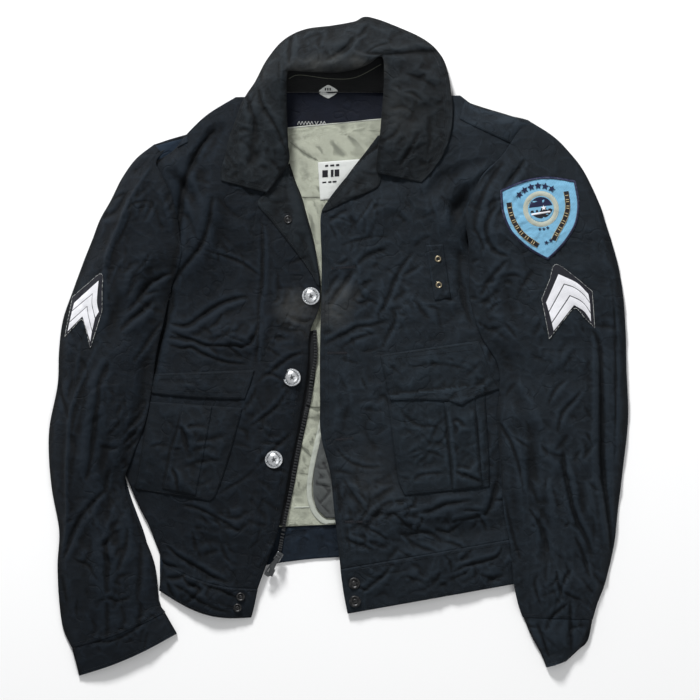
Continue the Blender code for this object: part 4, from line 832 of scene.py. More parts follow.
class Paint:
    """One material and the nodes that make it."""

    def __init__(self, name, roughness=0.8, metallic=0.0, specular=0.5, sheen=0.0):
        self.material = bpy.data.materials.new(name)
        self.material.use_nodes = True
        self.tree = self.material.node_tree
        self.shader = self.tree.nodes["Principled BSDF"]
        self.feed(self.shader.inputs["Roughness"], roughness)
        self.feed(self.shader.inputs["Metallic"], metallic)
        self.feed(self.shader.inputs["Specular IOR Level"], specular)
        self.feed(self.shader.inputs["Sheen Weight"], sheen)
        self.feed(self.shader.inputs["Sheen Roughness"], 0.45)
        self.place = self.node("ShaderNodeTexCoord", output="Object")

    def feed(self, socket, value):
        if isinstance(value, Value):
            self.tree.links.new(value.socket, socket)
        elif hasattr(value, "__len__") and len(value) == 3 and socket.type == "RGBA":
            socket.default_value = (*value, 1.0)
        else:
            socket.default_value = value

    def node(self, kind, settings=None, inputs=None, output=0):
        made = self.tree.nodes.new(kind)
        for key, value in (settings or {}).items():
            setattr(made, key, value)
        for key, value in (inputs or {}).items():
            self.feed(made.inputs[key], value)
        return Value(self, made.outputs[output])

    def mix(self, factor, a, b):
        return self.node(
            "ShaderNodeMix", {"data_type": "RGBA"}, {0: factor, 6: a, 7: b}, output=2
        )

    def noise(self, scale, detail=2.0, roughness=0.5, vector=None):
        return self.node(
            "ShaderNodeTexNoise", {},
            {
                "Vector": vector or self.place, "Scale": scale, "Detail": detail,
                "Roughness": roughness,
            },
        )

    def mark(self, name):
        return self.node("ShaderNodeAttribute", {"attribute_name": name}, output=2)

    def grain(self):
        return self.node("ShaderNodeUVMap", {"uv_map": "grain"})

    def threads(self, pitch, direction, vector=None):
        """Raised threads of a weave, one band for each pitch in metres."""
        return self.node(
            "ShaderNodeTexWave", {"wave_type": "BANDS", "bands_direction": direction},
            {"Vector": vector or self.grain(), "Scale": 0.314159 / pitch, "Distortion": 0.6,
             "Detail": 1.0, "Detail Scale": 2.0},
            output=1,
        )

    def around(self, centre, radius):
        """1 at a centre given in mm, fading to 0 at the radius."""
        away = self.node(
            "ShaderNodeVectorMath", {"operation": "DISTANCE"},
            {0: self.place, 1: tuple(c * METRE for c in centre)}, output="Value",
        )
        return 1 - away.held(0.0, radius * METRE)

    def crinkle(self, scale):
        """Thin broken lines, 1 along each line, as of cloth that has been crushed."""
        field = self.noise(scale, 1.5, 0.5)
        line = 1 - ((field - 0.5).math("ABSOLUTE")).held(0.0, 0.035)
        return line * self.noise(scale * 0.7, 1.0).held(0.42, 0.62)

    def colour(self, value):
        self.feed(self.shader.inputs["Base Color"], value)

    def bump(self, height, distance, strength=1.0):
        normal = self.node(
            "ShaderNodeBump", {}, {"Strength": strength, "Distance": distance, "Height": height},
            output="Normal",
        )
        self.feed(self.shader.inputs["Normal"], normal)


def scaled(colour, factor):
    return tuple(c * factor for c in colour)


def nylon(name, colour, stains=(), sheen=0.02):
    """Woven nylon: fine threads, cloudy wear, crests painted paler as wear and painted highlight, hollows and
    crinkle lines painted darker as painted shade.
    """
    paint = Paint(name, roughness=0.62, specular=0.12, sheen=sheen)
    cloud = paint.noise(11, 3)
    mottle = paint.noise(70, 4, 0.6)
    fleck = paint.noise(520, 2)
    tone = cloud * 0.35 + mottle * 0.4 + fleck * 0.25
    base = paint.mix(tone.held(0.3, 0.7), scaled(colour, 0.72), scaled(colour, 1.32))
    proud = paint.mark("proud")
    # Wear and painted highlight: the crests that stand proud are painted paler.
    base = paint.mix(proud.held(0.05, 0.8) * 0.5, base, scaled(colour, 2.6))
    # Painted shade: the hollows between the creases are painted darker.
    base = paint.mix((0 - proud).held(0.05, 0.8) * 0.8, base, scaled(colour, 0.25))
    base = paint.mix(paint.mark("edge") * mottle * 0.35, base, scaled(colour, 2.2))
    for centre, radius, strength in stains:
        patch = paint.around(centre, radius) * (paint.noise(45, 4, 0.7).held(0.3, 0.8) + 0.3)
        base = paint.mix(patch * strength, base, (0.085, 0.085, 0.080))
    crinkle = paint.crinkle(38) * 0.7 + paint.crinkle(85) * 0.3
    # Painted shade: the fine crinkle lines are painted darker, besides their bump below.
    base = paint.mix(crinkle * 0.45, base, scaled(colour, 0.3))
    paint.colour(base)
    warp, weft = paint.threads(0.0008, "X"), paint.threads(0.0008, "Y")
    weave = warp * 0.15 + weft * 0.15 + mottle * 0.5 + fleck * 0.2
    paint.bump(weave - crinkle, 0.0009, 0.8)
    paint.feed(paint.shader.inputs["Roughness"], 0.56 + mottle * 0.16)
    return paint.material


def satin_lining(name, colour, shade_colour, quilt=0.0):
    """Thin quilted satin, with painted shade in its creases and in soft patches for the quilting."""
    paint = Paint(name, roughness=0.5, specular=0.4, sheen=0.15)
    mottle = paint.noise(60, 4, 0.6)
    fine = paint.noise(420, 2)
    base = paint.mix(mottle.held(0.3, 0.7), scaled(colour, 0.88), scaled(colour, 1.08))
    # Painted shade: the hollows of the creases are painted in the shade colour.
    base = paint.mix((0 - paint.mark("proud")).held(0.0, 0.7) * 0.8, base, shade_colour)
    # Painted shade: soft dark patches stand for the dips of the quilting.
    base = paint.mix(paint.noise(24, 4, 0.6).held(0.55, 0.75) * quilt, base, scaled(shade_colour, 0.8))
    paint.colour(base)
    threads = paint.threads(0.0005, "X") + paint.threads(0.0005, "Y")
    paint.bump(threads * 0.4 + mottle * 2.0 + fine * 0.4, 0.0004, 0.8)
    return paint.material


def plush(name, colour):
    paint = Paint(name, roughness=0.95, specular=0.1, sheen=0.35)
    tuft = paint.noise(900, 3, 0.7)
    nap = paint.noise(40, 2)
    paint.colour(paint.mix(tuft * nap, scaled(colour, 0.5), scaled(colour, 2.2)))
    paint.bump(tuft, 0.0009)
    return paint.material


def woven(name, colour, pitch=0.0009, contrast=0.3, roughness=0.85, specular=0.3):
    """Close woven tape, label or embroidery ground."""
    paint = Paint(name, roughness=roughness, specular=specular, sheen=0.05)
    ribs = paint.threads(pitch, "X", paint.place) * paint.threads(pitch, "Y", paint.place)
    wear = paint.noise(90, 3)
    tone = ribs * 0.5 + wear * 0.5
    paint.colour(paint.mix(tone, scaled(colour, 1 - contrast), scaled(colour, 1 + contrast * 0.5)))
    paint.bump(ribs + wear * 0.3, 0.0004)
    return paint.material


def thread(name, colour, pitch=0.0007, shine=0.4):
    """Satin stitches that lie side by side, slanted."""
    paint = Paint(name, roughness=0.45, specular=shine, sheen=0.1)
    slant = paint.node(
        "ShaderNodeVectorMath", {"operation": "MULTIPLY_ADD"},
        {0: paint.place, 1: (1.0, 0.45, 1.0), 2: (0.0, 0.0, 0.0)},
    )
    strands = paint.threads(pitch, "DIAGONAL", slant)
    tone = strands * 0.6 + paint.noise(160, 3) * 0.4
    paint.colour(paint.mix(tone, scaled(colour, 0.75), scaled(colour, 1.1)))
    paint.bump(strands, 0.0003)
    return paint.material


def metal(name, colour, tarnish, roughness=0.22, worn=0.5, metallic=1.0):
    """Plated metal, dulled in patches, with fine scratches."""
    paint = Paint(name, roughness=roughness, metallic=metallic)
    patch = paint.noise(260, 4, 0.6).held(0.45, 0.72) * worn
    scratch = paint.noise(1500, 2)
    paint.colour(paint.mix(patch, colour, tarnish))
    paint.feed(paint.shader.inputs["Roughness"], patch * 0.35 + scratch * 0.12 + roughness)
    paint.bump(scratch + patch, 0.00008, 0.6)
    return paint.material


def paper(name, colour):
    paint = Paint(name, roughness=0.9, specular=0.2)
    shade = paint.noise(3, 2)
    paint.colour(paint.mix(shade, scaled(colour, 0.985), colour))
    paint.bump(paint.noise(300, 2), 0.0001, 0.2)
    return paint.material


NAVY = (0.0038, 0.0062, 0.0094)
NAVY_LIGHT = (0.0068, 0.0104, 0.0146)
STAINS = [
    ((-56, 50, 20), 30, 0.55), ((-8, 46, 18), 32, 0.4), ((8, 66, 20), 24, 0.4),
    ((-40, 30, 20), 26, 0.3), ((40, -170, 20), 60, 0.12),
]

finish = {
    "right": nylon("nylon_right", NAVY, STAINS),
    "left": nylon("nylon_left", NAVY_LIGHT, STAINS),
    "pocket_right": nylon("nylon_pocket_right", (0.0040, 0.0066, 0.0098)),
    "pocket_left": nylon("nylon_pocket_left", (0.0072, 0.0112, 0.0155)),
    "collar": nylon("nylon_collar", (0.0058, 0.0080, 0.0100), [
        ((-52, 350, 30), 18, 0.4), ((-28, 356, 30), 18, 0.45), ((-2, 358, 30), 18, 0.45),
        ((24, 358, 30), 18, 0.45), ((48, 352, 30), 18, 0.4), ((70, 300, 30), 50, 0.16),
    ]),
    "inner": nylon("nylon_inner", (0.0062, 0.0110, 0.0185)),
    "yoke": nylon("nylon_yoke", (0.0040, 0.0058, 0.0120)),
    # Each lining's second colour is the painted shade of its creases and quilting.
    "lining": satin_lining("lining_sage", (0.39, 0.41, 0.33), (0.13, 0.14, 0.11)),
    "liner": satin_lining("liner_grey", (0.055, 0.062, 0.062), (0.006, 0.007, 0.008), 0.5),
    "plush": plush("plush_black", (0.0030, 0.0036, 0.0042)),
    "tape": woven("binding_tape", (0.50, 0.53, 0.47)),
    "label": woven("label_white", (0.66, 0.68, 0.66), contrast=0.12),
    "zip_tape": woven("zip_tape_black", (0.006, 0.007, 0.009)),
    "backing": woven("badge_felt", (0.016, 0.017, 0.024), roughness=0.95),
    "blue": thread("embroidery_blue", (0.19, 0.43, 0.62), shine=0.2),
    "border": thread("embroidery_navy", (0.006, 0.009, 0.045)),
    "gold": thread("embroidery_gold", (0.50, 0.40, 0.22)),
    "sand": thread("embroidery_sand", (0.44, 0.47, 0.40), shine=0.2),
    "black": thread("embroidery_black", (0.006, 0.006, 0.010)),
    "white": thread("embroidery_white", (0.80, 0.80, 0.84), shine=0.3),
    "stitch": thread("stitch_navy", (0.009, 0.012, 0.016), 0.0004, 0.15),
    "stitch_pale": thread("stitch_pale", (0.60, 0.62, 0.60), 0.0004),
    "silver": metal("silver_plate", (0.88, 0.90, 0.92), (0.20, 0.21, 0.22), 0.2, 0.55),
    "gunmetal": metal("gunmetal", (0.13, 0.135, 0.14), (0.03, 0.03, 0.035), 0.26, 0.6),
    # The seam colour: a line on the collar stand, and painted shade on the lining's seams.
    "seam": woven("seam_sage_and_shade", (0.15, 0.16, 0.125)),
    "engraved": metal("silver_dark", (0.10, 0.105, 0.11), (0.03, 0.03, 0.03), 0.35),
    "enamel": metal("black_enamel", (0.012, 0.012, 0.013), (0.10, 0.10, 0.10), 0.3, 0.5, 0.6),
    "brass": metal("brass", (0.34, 0.29, 0.20), (0.12, 0.10, 0.06), 0.3),
    "teeth": metal("zip_teeth", (0.045, 0.047, 0.050), (0.012, 0.012, 0.013), 0.3, 0.6, 0.8),
}


# ---- Cloth -----------------------------------------------------------------------------------

CREASES = {
    "front_right": FRONT_RIGHT_CREASES + WAIST_RIGHT_CREASES,
    "front_left": FRONT_LEFT_CREASES + WAIST_LEFT_CREASES,
    "pocket_right": POCKET_RIGHT_CREASES, "pocket_left": POCKET_LEFT_CREASES,
    "flap_right": FLAP_RIGHT_CREASES, "flap_left": FLAP_LEFT_CREASES,
    "sleeve_right": SLEEVE_RIGHT_CREASES + CUFF_RIGHT_CREASES,
    "sleeve_left": SLEEVE_LEFT_CREASES + CUFF_LEFT_CREASES,
    "collar": COLLAR_CREASES, "lapel_right": LAPEL_RIGHT_CREASES,
    "lapel_left": LAPEL_LEFT_CREASES, "lining": LINING_CREASES, "liner": LINER_CREASES,
    "back_waist": BACK_WAIST_CREASES, "plain": [],
}
SCATTERS["front_right"] += SCATTERS["waist_right"]
SCATTERS["front_left"] += SCATTERS["waist_left"]
SCATTERS["sleeve_right"] += SCATTERS["cuff_right"]
SCATTERS["sleeve_left"] += SCATTERS["cuff_left"]

SEWN = {}              # finished upper faces by CAD node, for the stitching


def upper_face(node, columns, corner):
    if node == "back_waistband":
        band_top = grid_of(node, columns, corner)[0]
        return np.array([band_top, band_top - np.array([0, 42, 0])])
    if node == "neck_label":
        return np.array([[(-26, 233.5, 6), (27, 237.5, 6)], [(-23, 186, 6), (29, 190, 6)]], float)
    grid = grid_of(node, columns, corner) if corner else scanned(node, columns)
    if node == "back_panel":
        shoulder = (grid[:, 0, 1] > 222) & (grid[:, 0, 1] < 258)
        grid[shoulder, 0, 0] = np.minimum(grid[shoulder, 0, 0], -231)
        grid[shoulder, 0, 2] = 6
    return grid


def tucked_under(node, grid):
    """Carry the sleeve heads on over the shoulders, so that the armhole seams are closed."""
    if node in ("sleeve_right", "sleeve_left"):
        edge, way = (-1, 1) if node == "sleeve_right" else (0, -1)
        for r in range(7 if way > 0 else 6):
            grid[r, edge, :2] += np.array([5.0 * way, 3.0])
        grid[0, :, :2] += np.array([4.0 * way, 4.0])
    return grid


def lay(node, columns, corner, form, seed, thickness, look, over=(), calm=1.0, cell=CELL):
    """A panel on its CAD form, creased, and lifted clear of what lies below it."""
    rows = refined(tucked_under(node, upper_face(node, columns, corner)), cell)
    base = rows.copy()
    rows[..., 2] += relief(rows, CREASES[form], form, seed, calm)
    floor = ground(rows, over) if over else np.zeros(rows.shape[:2])
    rows[..., 2] = np.maximum(rows[..., 2], floor + LIFT + thickness)
    SEWN[node] = rows
    return cloth_piece(
        node + "_cloth", rows, base, thickness, finish[look], [node]
    )


# Lower edge of a flap with its point.
TIPS = {
    "pocket_flap_left": [
        (66, -67.5), (100, -66.5), (130, -67.5), (144, -69), (155.6, -74), (164, -68.5),
        (180, -61), (202, -53.8),
    ],
}


def sew_on(node, columns, corner, form, seed, thickness, look, over, puff=0.8, cell=2.0,
           grow=1.0):
    """A piece sewn down at its edges on the cloth below, and a little full between them."""
    rows = refined(upper_face(node, columns, corner), cell)
    if node in TIPS:
        tip = np.array(TIPS[node], float)
        step = np.interp(rows[-1, :, 0], tip[:, 0], tip[:, 1]) - rows[-1, :, 1]
        rows[..., 1] += np.linspace(0, 1, len(rows))[:, None] ** 2 * step
    middle = rows.mean(axis=(0, 1))
    rows = middle + (rows - middle) * grow
    full = np.clip(edge_distance(rows) / 14, 0, 1) ** 0.7
    height = puff * full + relief(rows, CREASES[form], form, seed, 0.8) * (0.25 + 0.75 * full)
    rows[..., 2] = ground(rows, over) + LIFT + thickness + np.maximum(height, 0)
    SEWN[node] = rows
    return cloth_piece(node + "_cloth", rows, rows, thickness, finish[look], [node])


# Ends of the cuff's upper edge, from the sleeve to the hem, and its height between them.
CUFF_ENDS = {
    "right": [((-338, -382.8), (-220, -337.8), 11), ((-333, -401), (-213, -350), 9),
              ((-329, -417.5), (-205, -364), 7)],
    "left": [((235, -343.8), (322, -346.8), 13), ((244, -366), (316, -373), 11),
             ((256, -388), (304, -385), 8), ((264, -407), (289, -399), 8)],
}


def cuff(side, last, form, seed):
    """Open tube of double cloth that carries on from the sleeve's last row."""
    node = "cuff_" + side
    ends = CUFF_ENDS[side]
    t = np.linspace(0, 1, len(last))[:, None]
    chord = last[0] + (last[-1] - last[0]) * t
    sway = last - chord
    grid = []
    for a, b, crown in ends:
        start, end = np.array([*a, 4.0]), np.array([*b, 4.0])
        row = start + (end - start) * t + sway * np.array([1, 1, 0])
        row[:, 2] = 4 + np.maximum(last[:, 2] - 4, 0) * crown / ends[0][2]
        grid.append(row)
    upper = refined(np.array(grid))
    base = upper.copy()
    upper[..., 2] += relief(upper, CREASES[form], form, seed)
    upper[..., 2] = np.maximum(upper[..., 2], 4.0)
    lower = upper[:, ::-1].copy()
    lower[..., 2] = 0.3
    ring = np.concatenate([upper, lower], axis=1)
    count_r, count_c = ring.shape[:2]
    faces = [
        (r * count_c + c, (r + 1) * count_c + c,
         (r + 1) * count_c + (c + 1) % count_c, r * count_c + (c + 1) % count_c)
        for r in range(count_r - 1) for c in range(count_c)
    ]
    mesh = bpy.data.meshes.new(node)
    mesh.from_pydata((ring.reshape(-1, 3) * METRE).tolist(), [], faces)
    layer = mesh.attributes.new("proud", "FLOAT", "POINT")
    proud = np.clip((upper[..., 2] - blurred(upper[..., 2], 14)) / 0.8, -1, 1)
    both = np.concatenate([proud, proud[:, ::-1] * 0], axis=1).ravel()
    layer.data.foreach_set("value", both.astype(np.float32))
    layer = mesh.attributes.new("edge", "FLOAT", "POINT")
    ends = np.zeros((count_r, count_c))
    ends[-2:] = 1
    layer.data.foreach_set("value", ends.ravel().astype(np.float32))
    corners = np.zeros(len(mesh.loops), dtype=np.int32)
    mesh.loops.foreach_get("vertex_index", corners)
    grain = mesh.uv_layers.new(name="grain")
    plan = ring.reshape(-1, 3)[corners][:, :2] * METRE
    grain.data.foreach_set("uv", plan.astype(np.float32).ravel())
    look = "right" if node.endswith("right") else "left"
    thing = link(node + "_cloth", mesh, finish[look])
    wall = thing.modifiers.new("wall", "SOLIDIFY")
    wall.thickness = DOUBLE * METRE
    wall.offset = -1
    only(thing)
    bpy.ops.object.modifier_apply(modifier="wall")
    thing.data.shade_smooth()
    thing.data.set_sharp_from_angle(angle=math.radians(60))
    keep_tree(node, upper)
    SEWN[node] = upper
    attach(thing, "jacket")
    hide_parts(node)
    round_way = 2 * lengths_of(base.swapaxes(0, 1)) * METRE
    part = np.linalg.norm(
        np.cross(base[1:, :-1] - base[:-1, :-1], base[:-1, 1:] - base[:-1, :-1]), axis=2
    )
    return thing


def only(thing):
    bpy.ops.object.select_all(action="DESELECT")
    thing.select_set(True)
    bpy.context.view_layer.objects.active = thing


def linings():
    lay("back_panel", 10, None, "plain", 1, 1.5, "inner", calm=0.0, cell=9)
    lay("back_waistband", 10, (-226, -264), "back_waist", 2, DOUBLE, "inner",
        calm=0.5)
    lay("back_lining", 6, None, "lining", 3, CLOTH, "lining", ["back_panel"], 0.8, 3.2)
    lay("neck_yoke", 6, (-77, 322), "plain", 4, CLOTH, "yoke", ["back_lining"], 0.4)
    lay("collar_stand", 8, (-66, 354), "plain", 5, CLOTH, "plush", calm=0.5)
    lay("front_liner", 4, None, "liner", 6, CLOTH, "liner", ["back_lining"], 0.6)
    sew_on("liner_binding", 1, (-18, -60), "plain", 7, 1.2, "tape",
           ["back_lining", "front_liner"], 0.3, 1.2)
    sew_on("neck_label", 2, None, "plain", 8, TRIM, "label", ["back_lining"], 0.1)
    sew_on("size_label", 2, (-14, 331), "plain", 9, TRIM, "label",
           ["neck_yoke", "collar_stand"], 0.1, 1.5)
    sew_on("zip_tape", 2, None, "plain", 10, TRIM, "zip_tape", ["back_lining"], 0.0)


INSIDE = ["back_lining", "neck_yoke", "front_liner", "liner_binding", "neck_label", "zip_tape",
          "back_waistband", "back_panel"]


def fronts():
    lay("front_right", 13, (-130, 316), "front_right", 20, CLOTH, "right", INSIDE)
    lay("waistband_right", 13, (-222, -275), "front_right", 20, DOUBLE, "right", INSIDE)
    lay("front_left", 13, (129, 317), "front_left", 40, CLOTH, "left", INSIDE)
    lay("waistband_left", 13, (3, -282), "front_left", 40, DOUBLE, "left", INSIDE)
    for side, seed, corners in (
        ("right", 50, ((-240, -70), (-196, -72), (-233, -35))),
        ("left", 60, ((62, -62), (134, -70), (53, -11))),
    ):
        front, body = "front_" + side, "pocket_" + side
        pleat, flap = "pocket_pleat_" + side, "pocket_flap_" + side
        sew_on(body, 6, corners[0], body, seed, CLOTH, body, [front], 1.4)
        sew_on(pleat, 2, corners[1], body, seed, 0.9, body, [front, body], 0.3)
        sew_on(flap, 7, corners[2], "flap_" + side, seed + 2, DOUBLE, body,
               [front, body, pleat], 0.9)
    sew_on("lapel_right", 4, (-67, 229), "lapel_right", 70, CLOTH, "collar",
           ["front_right", *INSIDE], 0.8)
    sew_on("lapel_left", 4, (50, 267), "lapel_left", 72, CLOTH, "collar",
           ["front_left", *INSIDE], 0.8)
    sew_on("badge_tab", 2, (111, 128), "plain", 74, 1.1, "left", ["front_left"], 0.5, 1.5)
    sew_on("shoulder_strap_right", 2, (-225, 242), "plain", 76, 1.2, "right",
           ["front_right"], 0.5)
    sew_on("shoulder_strap_left", 2, (244, 284), "plain", 78, 1.2, "left",
           ["front_left"], 0.5)


def sleeves():
    for side, seed, corner in (("right", 80, (-237, 252)), ("left", 90, (241, 275))):
        below, form = "under_sleeve_" + side, "sleeve_" + side
        lay(below, 2, None, "plain", seed, 1.5, side, calm=0.0, cell=8)
        over = [below, "back_panel"]
        over += [n + side for n in ("front_", "waistband_", "pocket_", "pocket_flap_")]
        lay(form, 12, corner, form, seed, CLOTH, side, over)
        cuff(side, grid_of(form, 12, corner)[-1], form, seed)


def collar():
    over = ["front_right", "front_left", "lapel_right", "lapel_left", "neck_yoke", "collar_stand",
            "back_panel", "shoulder_strap_left"]
    lay("collar", 7, (-91, 195), "collar", 100, 1.6, "collar", over, 1.5)


# ---- Sewn details ----------------------------------------------------------------------------

class Joined:
    """Many small shapes gathered in one mesh."""

    def __init__(self):
        self.points = []
        self.faces = []

    def add(self, points, faces):
        start = len(self.points)
        self.points += [tuple(p) for p in points]
        self.faces += [tuple(start + i for i in face) for face in faces]

    def finish(self, name, look, slot, body="jacket"):
        mesh = bpy.data.meshes.new(name)
        mesh.from_pydata([[c * METRE for c in p] for p in self.points], [], self.faces)
        shape = bmesh.new()
        shape.from_mesh(mesh)
        bmesh.ops.recalc_face_normals(shape, faces=shape.faces)
        shape.to_mesh(mesh)
        shape.free()
        thing = link(name, mesh, finish[look])
        mesh.shade_smooth()
        mesh.set_sharp_from_angle(angle=math.radians(50))
        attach(thing, body)
        return thing


def top_of(names, x, y, fallback=0.0):
    best = None
    for name in names:
        hit = TREES[name].ray_cast(Vector((x, y, 200)), Vector((0, 0, -1)))[0]
        if hit is not None and (best is None or hit.z > best):
            best = hit.z
    return fallback if best is None else best


BRICK = [(0, 1, 2, 3), (4, 7, 6, 5), (0, 4, 5, 1), (1, 5, 6, 2), (2, 6, 7, 3), (3, 7, 4, 0)]


def stitch_row(joined, route, over, length=2.4, gap=1.0, width=0.5, proud=0.3):
    """A row of single stitches along a route, each lying on the cloth."""
    points = smooth_route(route, length + gap)
    for a, b in zip(points, points[1:]):
        way = b - a
        full = math.hypot(*way)
        if full < 0.5:
            continue
        way = way / full
        side = np.array([-way[1], way[0]]) * width / 2
        start, end = a + way * gap / 2, a + way * (full - gap / 2)
        za, zb = top_of(over, *start), top_of(over, *end)
        corners = []
        for z_shift, taper in ((-0.25, 1.0), (proud, 0.55)):
            for spot, z, s in ((start, za, -1), (start, za, 1), (end, zb, 1), (end, zb, -1)):
                corners.append((
                    spot[0] + side[0] * s * taper, spot[1] + side[1] * s * taper, z + z_shift,
                ))
        joined.add(corners, BRICK)


def band(joined, route, width, height, over, closed=False, step=1.6, cross=5):
    """Raised band of thread or cord that lies along a route."""
    points = smooth_route(route, step)
    if closed:
        points = points[:-1]
    count = len(points)
    rows = []
    for i, p in enumerate(points):
        if closed:
            ahead = points[(i + 1) % count] - points[i - 1]
        else:
            ahead = points[min(i + 1, count - 1)] - points[max(i - 1, 0)]
        ahead = ahead / (np.hypot(*ahead) + 1e-9)
        side = np.array([-ahead[1], ahead[0]])
        row = []
        for k in range(cross):
            t = -1 + 2 * k / (cross - 1)
            x, y = p + side * t * width / 2
            row.append((x, y, top_of(over, x, y) + height * (1 - t * t) ** 0.5 + 0.08))
        x, y = p
        base = top_of(over, x, y) - 0.3
        rows.append(row + [(row[-1][0], row[-1][1], base), (row[0][0], row[0][1], base)])
    size = cross + 2
    faces = []
    for i in range(count if closed else count - 1):
        for k in range(size):
            a, b = i * size + k, i * size + (k + 1) % size
            c, d = ((i + 1) % count) * size + (k + 1) % size, ((i + 1) % count) * size + k
            faces.append((a, b, c, d))
    if not closed:
        faces.append(tuple(range(size)))
        faces.append(tuple((count - 1) * size + k for k in reversed(range(size))))
    joined.add([p for row in rows for p in row], faces)


def plate(joined, outline, height, over):
    """Flat raised shape inside an outline, on the cloth below it."""
    count = len(outline)
    cx = sum(p[0] for p in outline) / count
    cy = sum(p[1] for p in outline) / count
    top, low = [], []
    for x, y in outline:
        z = top_of(over, x, y)
        top.append((x, y, z + height))
        low.append((x, y, z - 0.3))
    centre = (cx, cy, top_of(over, cx, cy) + height)
    faces = [(k, (k + 1) % count, 2 * count) for k in range(count)]
    faces += [(k, count + k, count + (k + 1) % count, (k + 1) % count) for k in range(count)]
    faces.append(tuple(count + k for k in reversed(range(count))))
    joined.add(top + low + [centre], faces)


def strip(joined, line_a, line_b, height, over, inset=0.35, cross=4):
    """Raised band that fills the space between two lines."""
    a, b = np.array(line_a), np.array(line_b)
    rows = []
    for p, q in zip(a, b):
        row = []
        for k in range(cross + 1):
            t = k / cross
            x, y = p + (q - p) * (
                inset / max(1e-6, math.dist(p, q))
                + t * (1 - 2 * inset / max(1e-6, math.dist(p, q)))
            )
            crown = height * (0.75 + 0.25 * math.sin(math.pi * t))
            row.append((x, y, top_of(over, x, y) + crown))
        rows.append(row)
    rows = np.array(rows)
    base = rows - np.array([0, 0, height + 0.3])
    count = cross + 1
    total = len(rows) * count
    faces = []
    for r in range(len(rows) - 1):
        for c in range(cross):
            i = r * count + c
            faces.append((i, i + count, i + count + 1, i + 1))
            faces.append((total + i, total + i + 1, total + i + count + 1, total + i + count))
        for i, flip in ((r * count, 1), (r * count + cross, -1)):
            faces.append((i, total + i, total + i + count, i + count)[::flip])
    for r, flip in ((0, -1), (len(rows) - 1, 1)):
        for c in range(cross):
            i = r * count + c
            faces.append((i, total + i, total + i + 1, i + 1)[::flip])
    joined.add(np.vstack([rows.reshape(-1, 3), base.reshape(-1, 3)]), faces)


def rim_route(node, inset, sides="tblr", step=4):
    """Points a little inside the edges of a finished cloth: top, bottom, left, right."""
    rows = SEWN[node]
    near = edge_distance(rows)
    count_r, count_c = near.shape
    middle_r, middle_c = count_r // 2, count_c // 2
    r0 = int(np.argmax(near[:, middle_c] >= inset))
    r1 = count_r - 1 - int(np.argmax(near[::-1, middle_c] >= inset))
    c0 = int(np.argmax(near[middle_r] >= inset))
    c1 = count_c - 1 - int(np.argmax(near[middle_r, ::-1] >= inset))
    runs = {
        "t": rows[r0, c0:c1 + 1], "b": rows[r1, c0:c1 + 1],
        "l": rows[r0:r1 + 1, c0], "r": rows[r0:r1 + 1, c1],
    }
    return [runs[s][::step, :2].tolist() for s in sides if len(runs[s][::step]) > 2]


def seams():
    """Rows of topstitching along the edges of the sewn pieces."""
    joined = Joined()
    for node, insets, sides in (
        ("pocket_right", (2.0,), "blr"), ("pocket_left", (2.0,), "blr"),
        ("pocket_flap_right", (2.0, 7.0), "blrt"), ("pocket_flap_left", (2.0, 7.0), "blrt"),
        ("pocket_pleat_right", (1.6,), "lr"), ("pocket_pleat_left", (1.6,), "lr"),
        ("waistband_right", (2.2,), "tb"), ("waistband_left", (2.2,), "tb"),
        ("front_right", (7.0,), "r"), ("front_left", (3.0, 9.0), "l"),
        ("sleeve_right", (3.0,), "b"), ("sleeve_left", (3.0,), "b"),
        ("cuff_right", (2.6,), "b"), ("cuff_left", (2.6,), "b"),
        ("collar", (3.0, 8.0), "rtb"), ("lapel_right", (2.4,), "l"), ("lapel_left", (2.4,), "l"),
        ("badge_tab", (1.8,), "tblr"), ("shoulder_strap_right", (2.0,), "lr"),
        ("shoulder_strap_left", (2.0,), "lr"), ("back_waistband", (2.4,), "t"),
    ):
        for inset in insets:
            for route in rim_route(node, inset, sides):
                stitch_row(joined, route, [node])
    over = ["front_left", "pocket_left", "front_right", "pocket_right"]
    for route in PANEL_SEAMS:
        stitch_row(joined, route, over)
    joined.finish("topstitching", "stitch", "shell")
    pale = Joined()
    over = ["neck_yoke", "back_lining"]
    band(pale, [(-64, 277.5), (-30, 280.5), (0, 283.5), (30, 286.5), (54, 288.5)], 1.5, 0.5, over)
    for x in range(-52, -18, 4):
        stitch_row(pale, [(x, 281), (x + 2, 286), (x + 4, 281.5)], over, 3.6, 0.4, 0.7, 0.9)
    pale.finish("neck_stitching", "stitch_pale", "pale_tape")
    dull = Joined()
    band(dull, [(-63, 339), (-49, 343.5), (-11, 339), (21, 340.5), (54, 357)], 0.5, 0.15,
         ["collar_stand"])
    # Painted shade: dark bands along the lining's seams, in their crease hollows.
    for route in LINING_SHADED_SEAMS:
        band(dull, route, 0.8, 0.12, ["back_lining"])
    dull.finish("lining_seams_and_shade", "seam", "lining")
    # Painted highlight: a pale band lies along the lining's raised crease.
    ridge = Joined()
    band(ridge, [(-56, -204), (-40, -203.5), (-24, -203)], 1.8, 0.7, ["back_lining"])
    ridge.finish("lining_ridge_highlight", "tape", "pale_tape")


# Seams on the lining that lie in crease hollows, drawn as dark bands of painted shade.
LINING_SHADED_SEAMS = [
    [(-62, 260), (-42.5, 245), (-26, 236)], [(-48, 189), (-36, 189.5), (-23, 189)],
    [(-36, -76), (-28, -77), (-20, -76)], [(-50, -124), (-42, -132), (-33, -141)],
    [(-48, -161), (-30, -162), (-14, -161.5)],
]
PANEL_SEAMS = [
    [(-97, 156), (-95, 110), (-96, 70), (-101, 35), (-103, 0)],
    [(163, 146), (165, 120), (160, 60)],
]


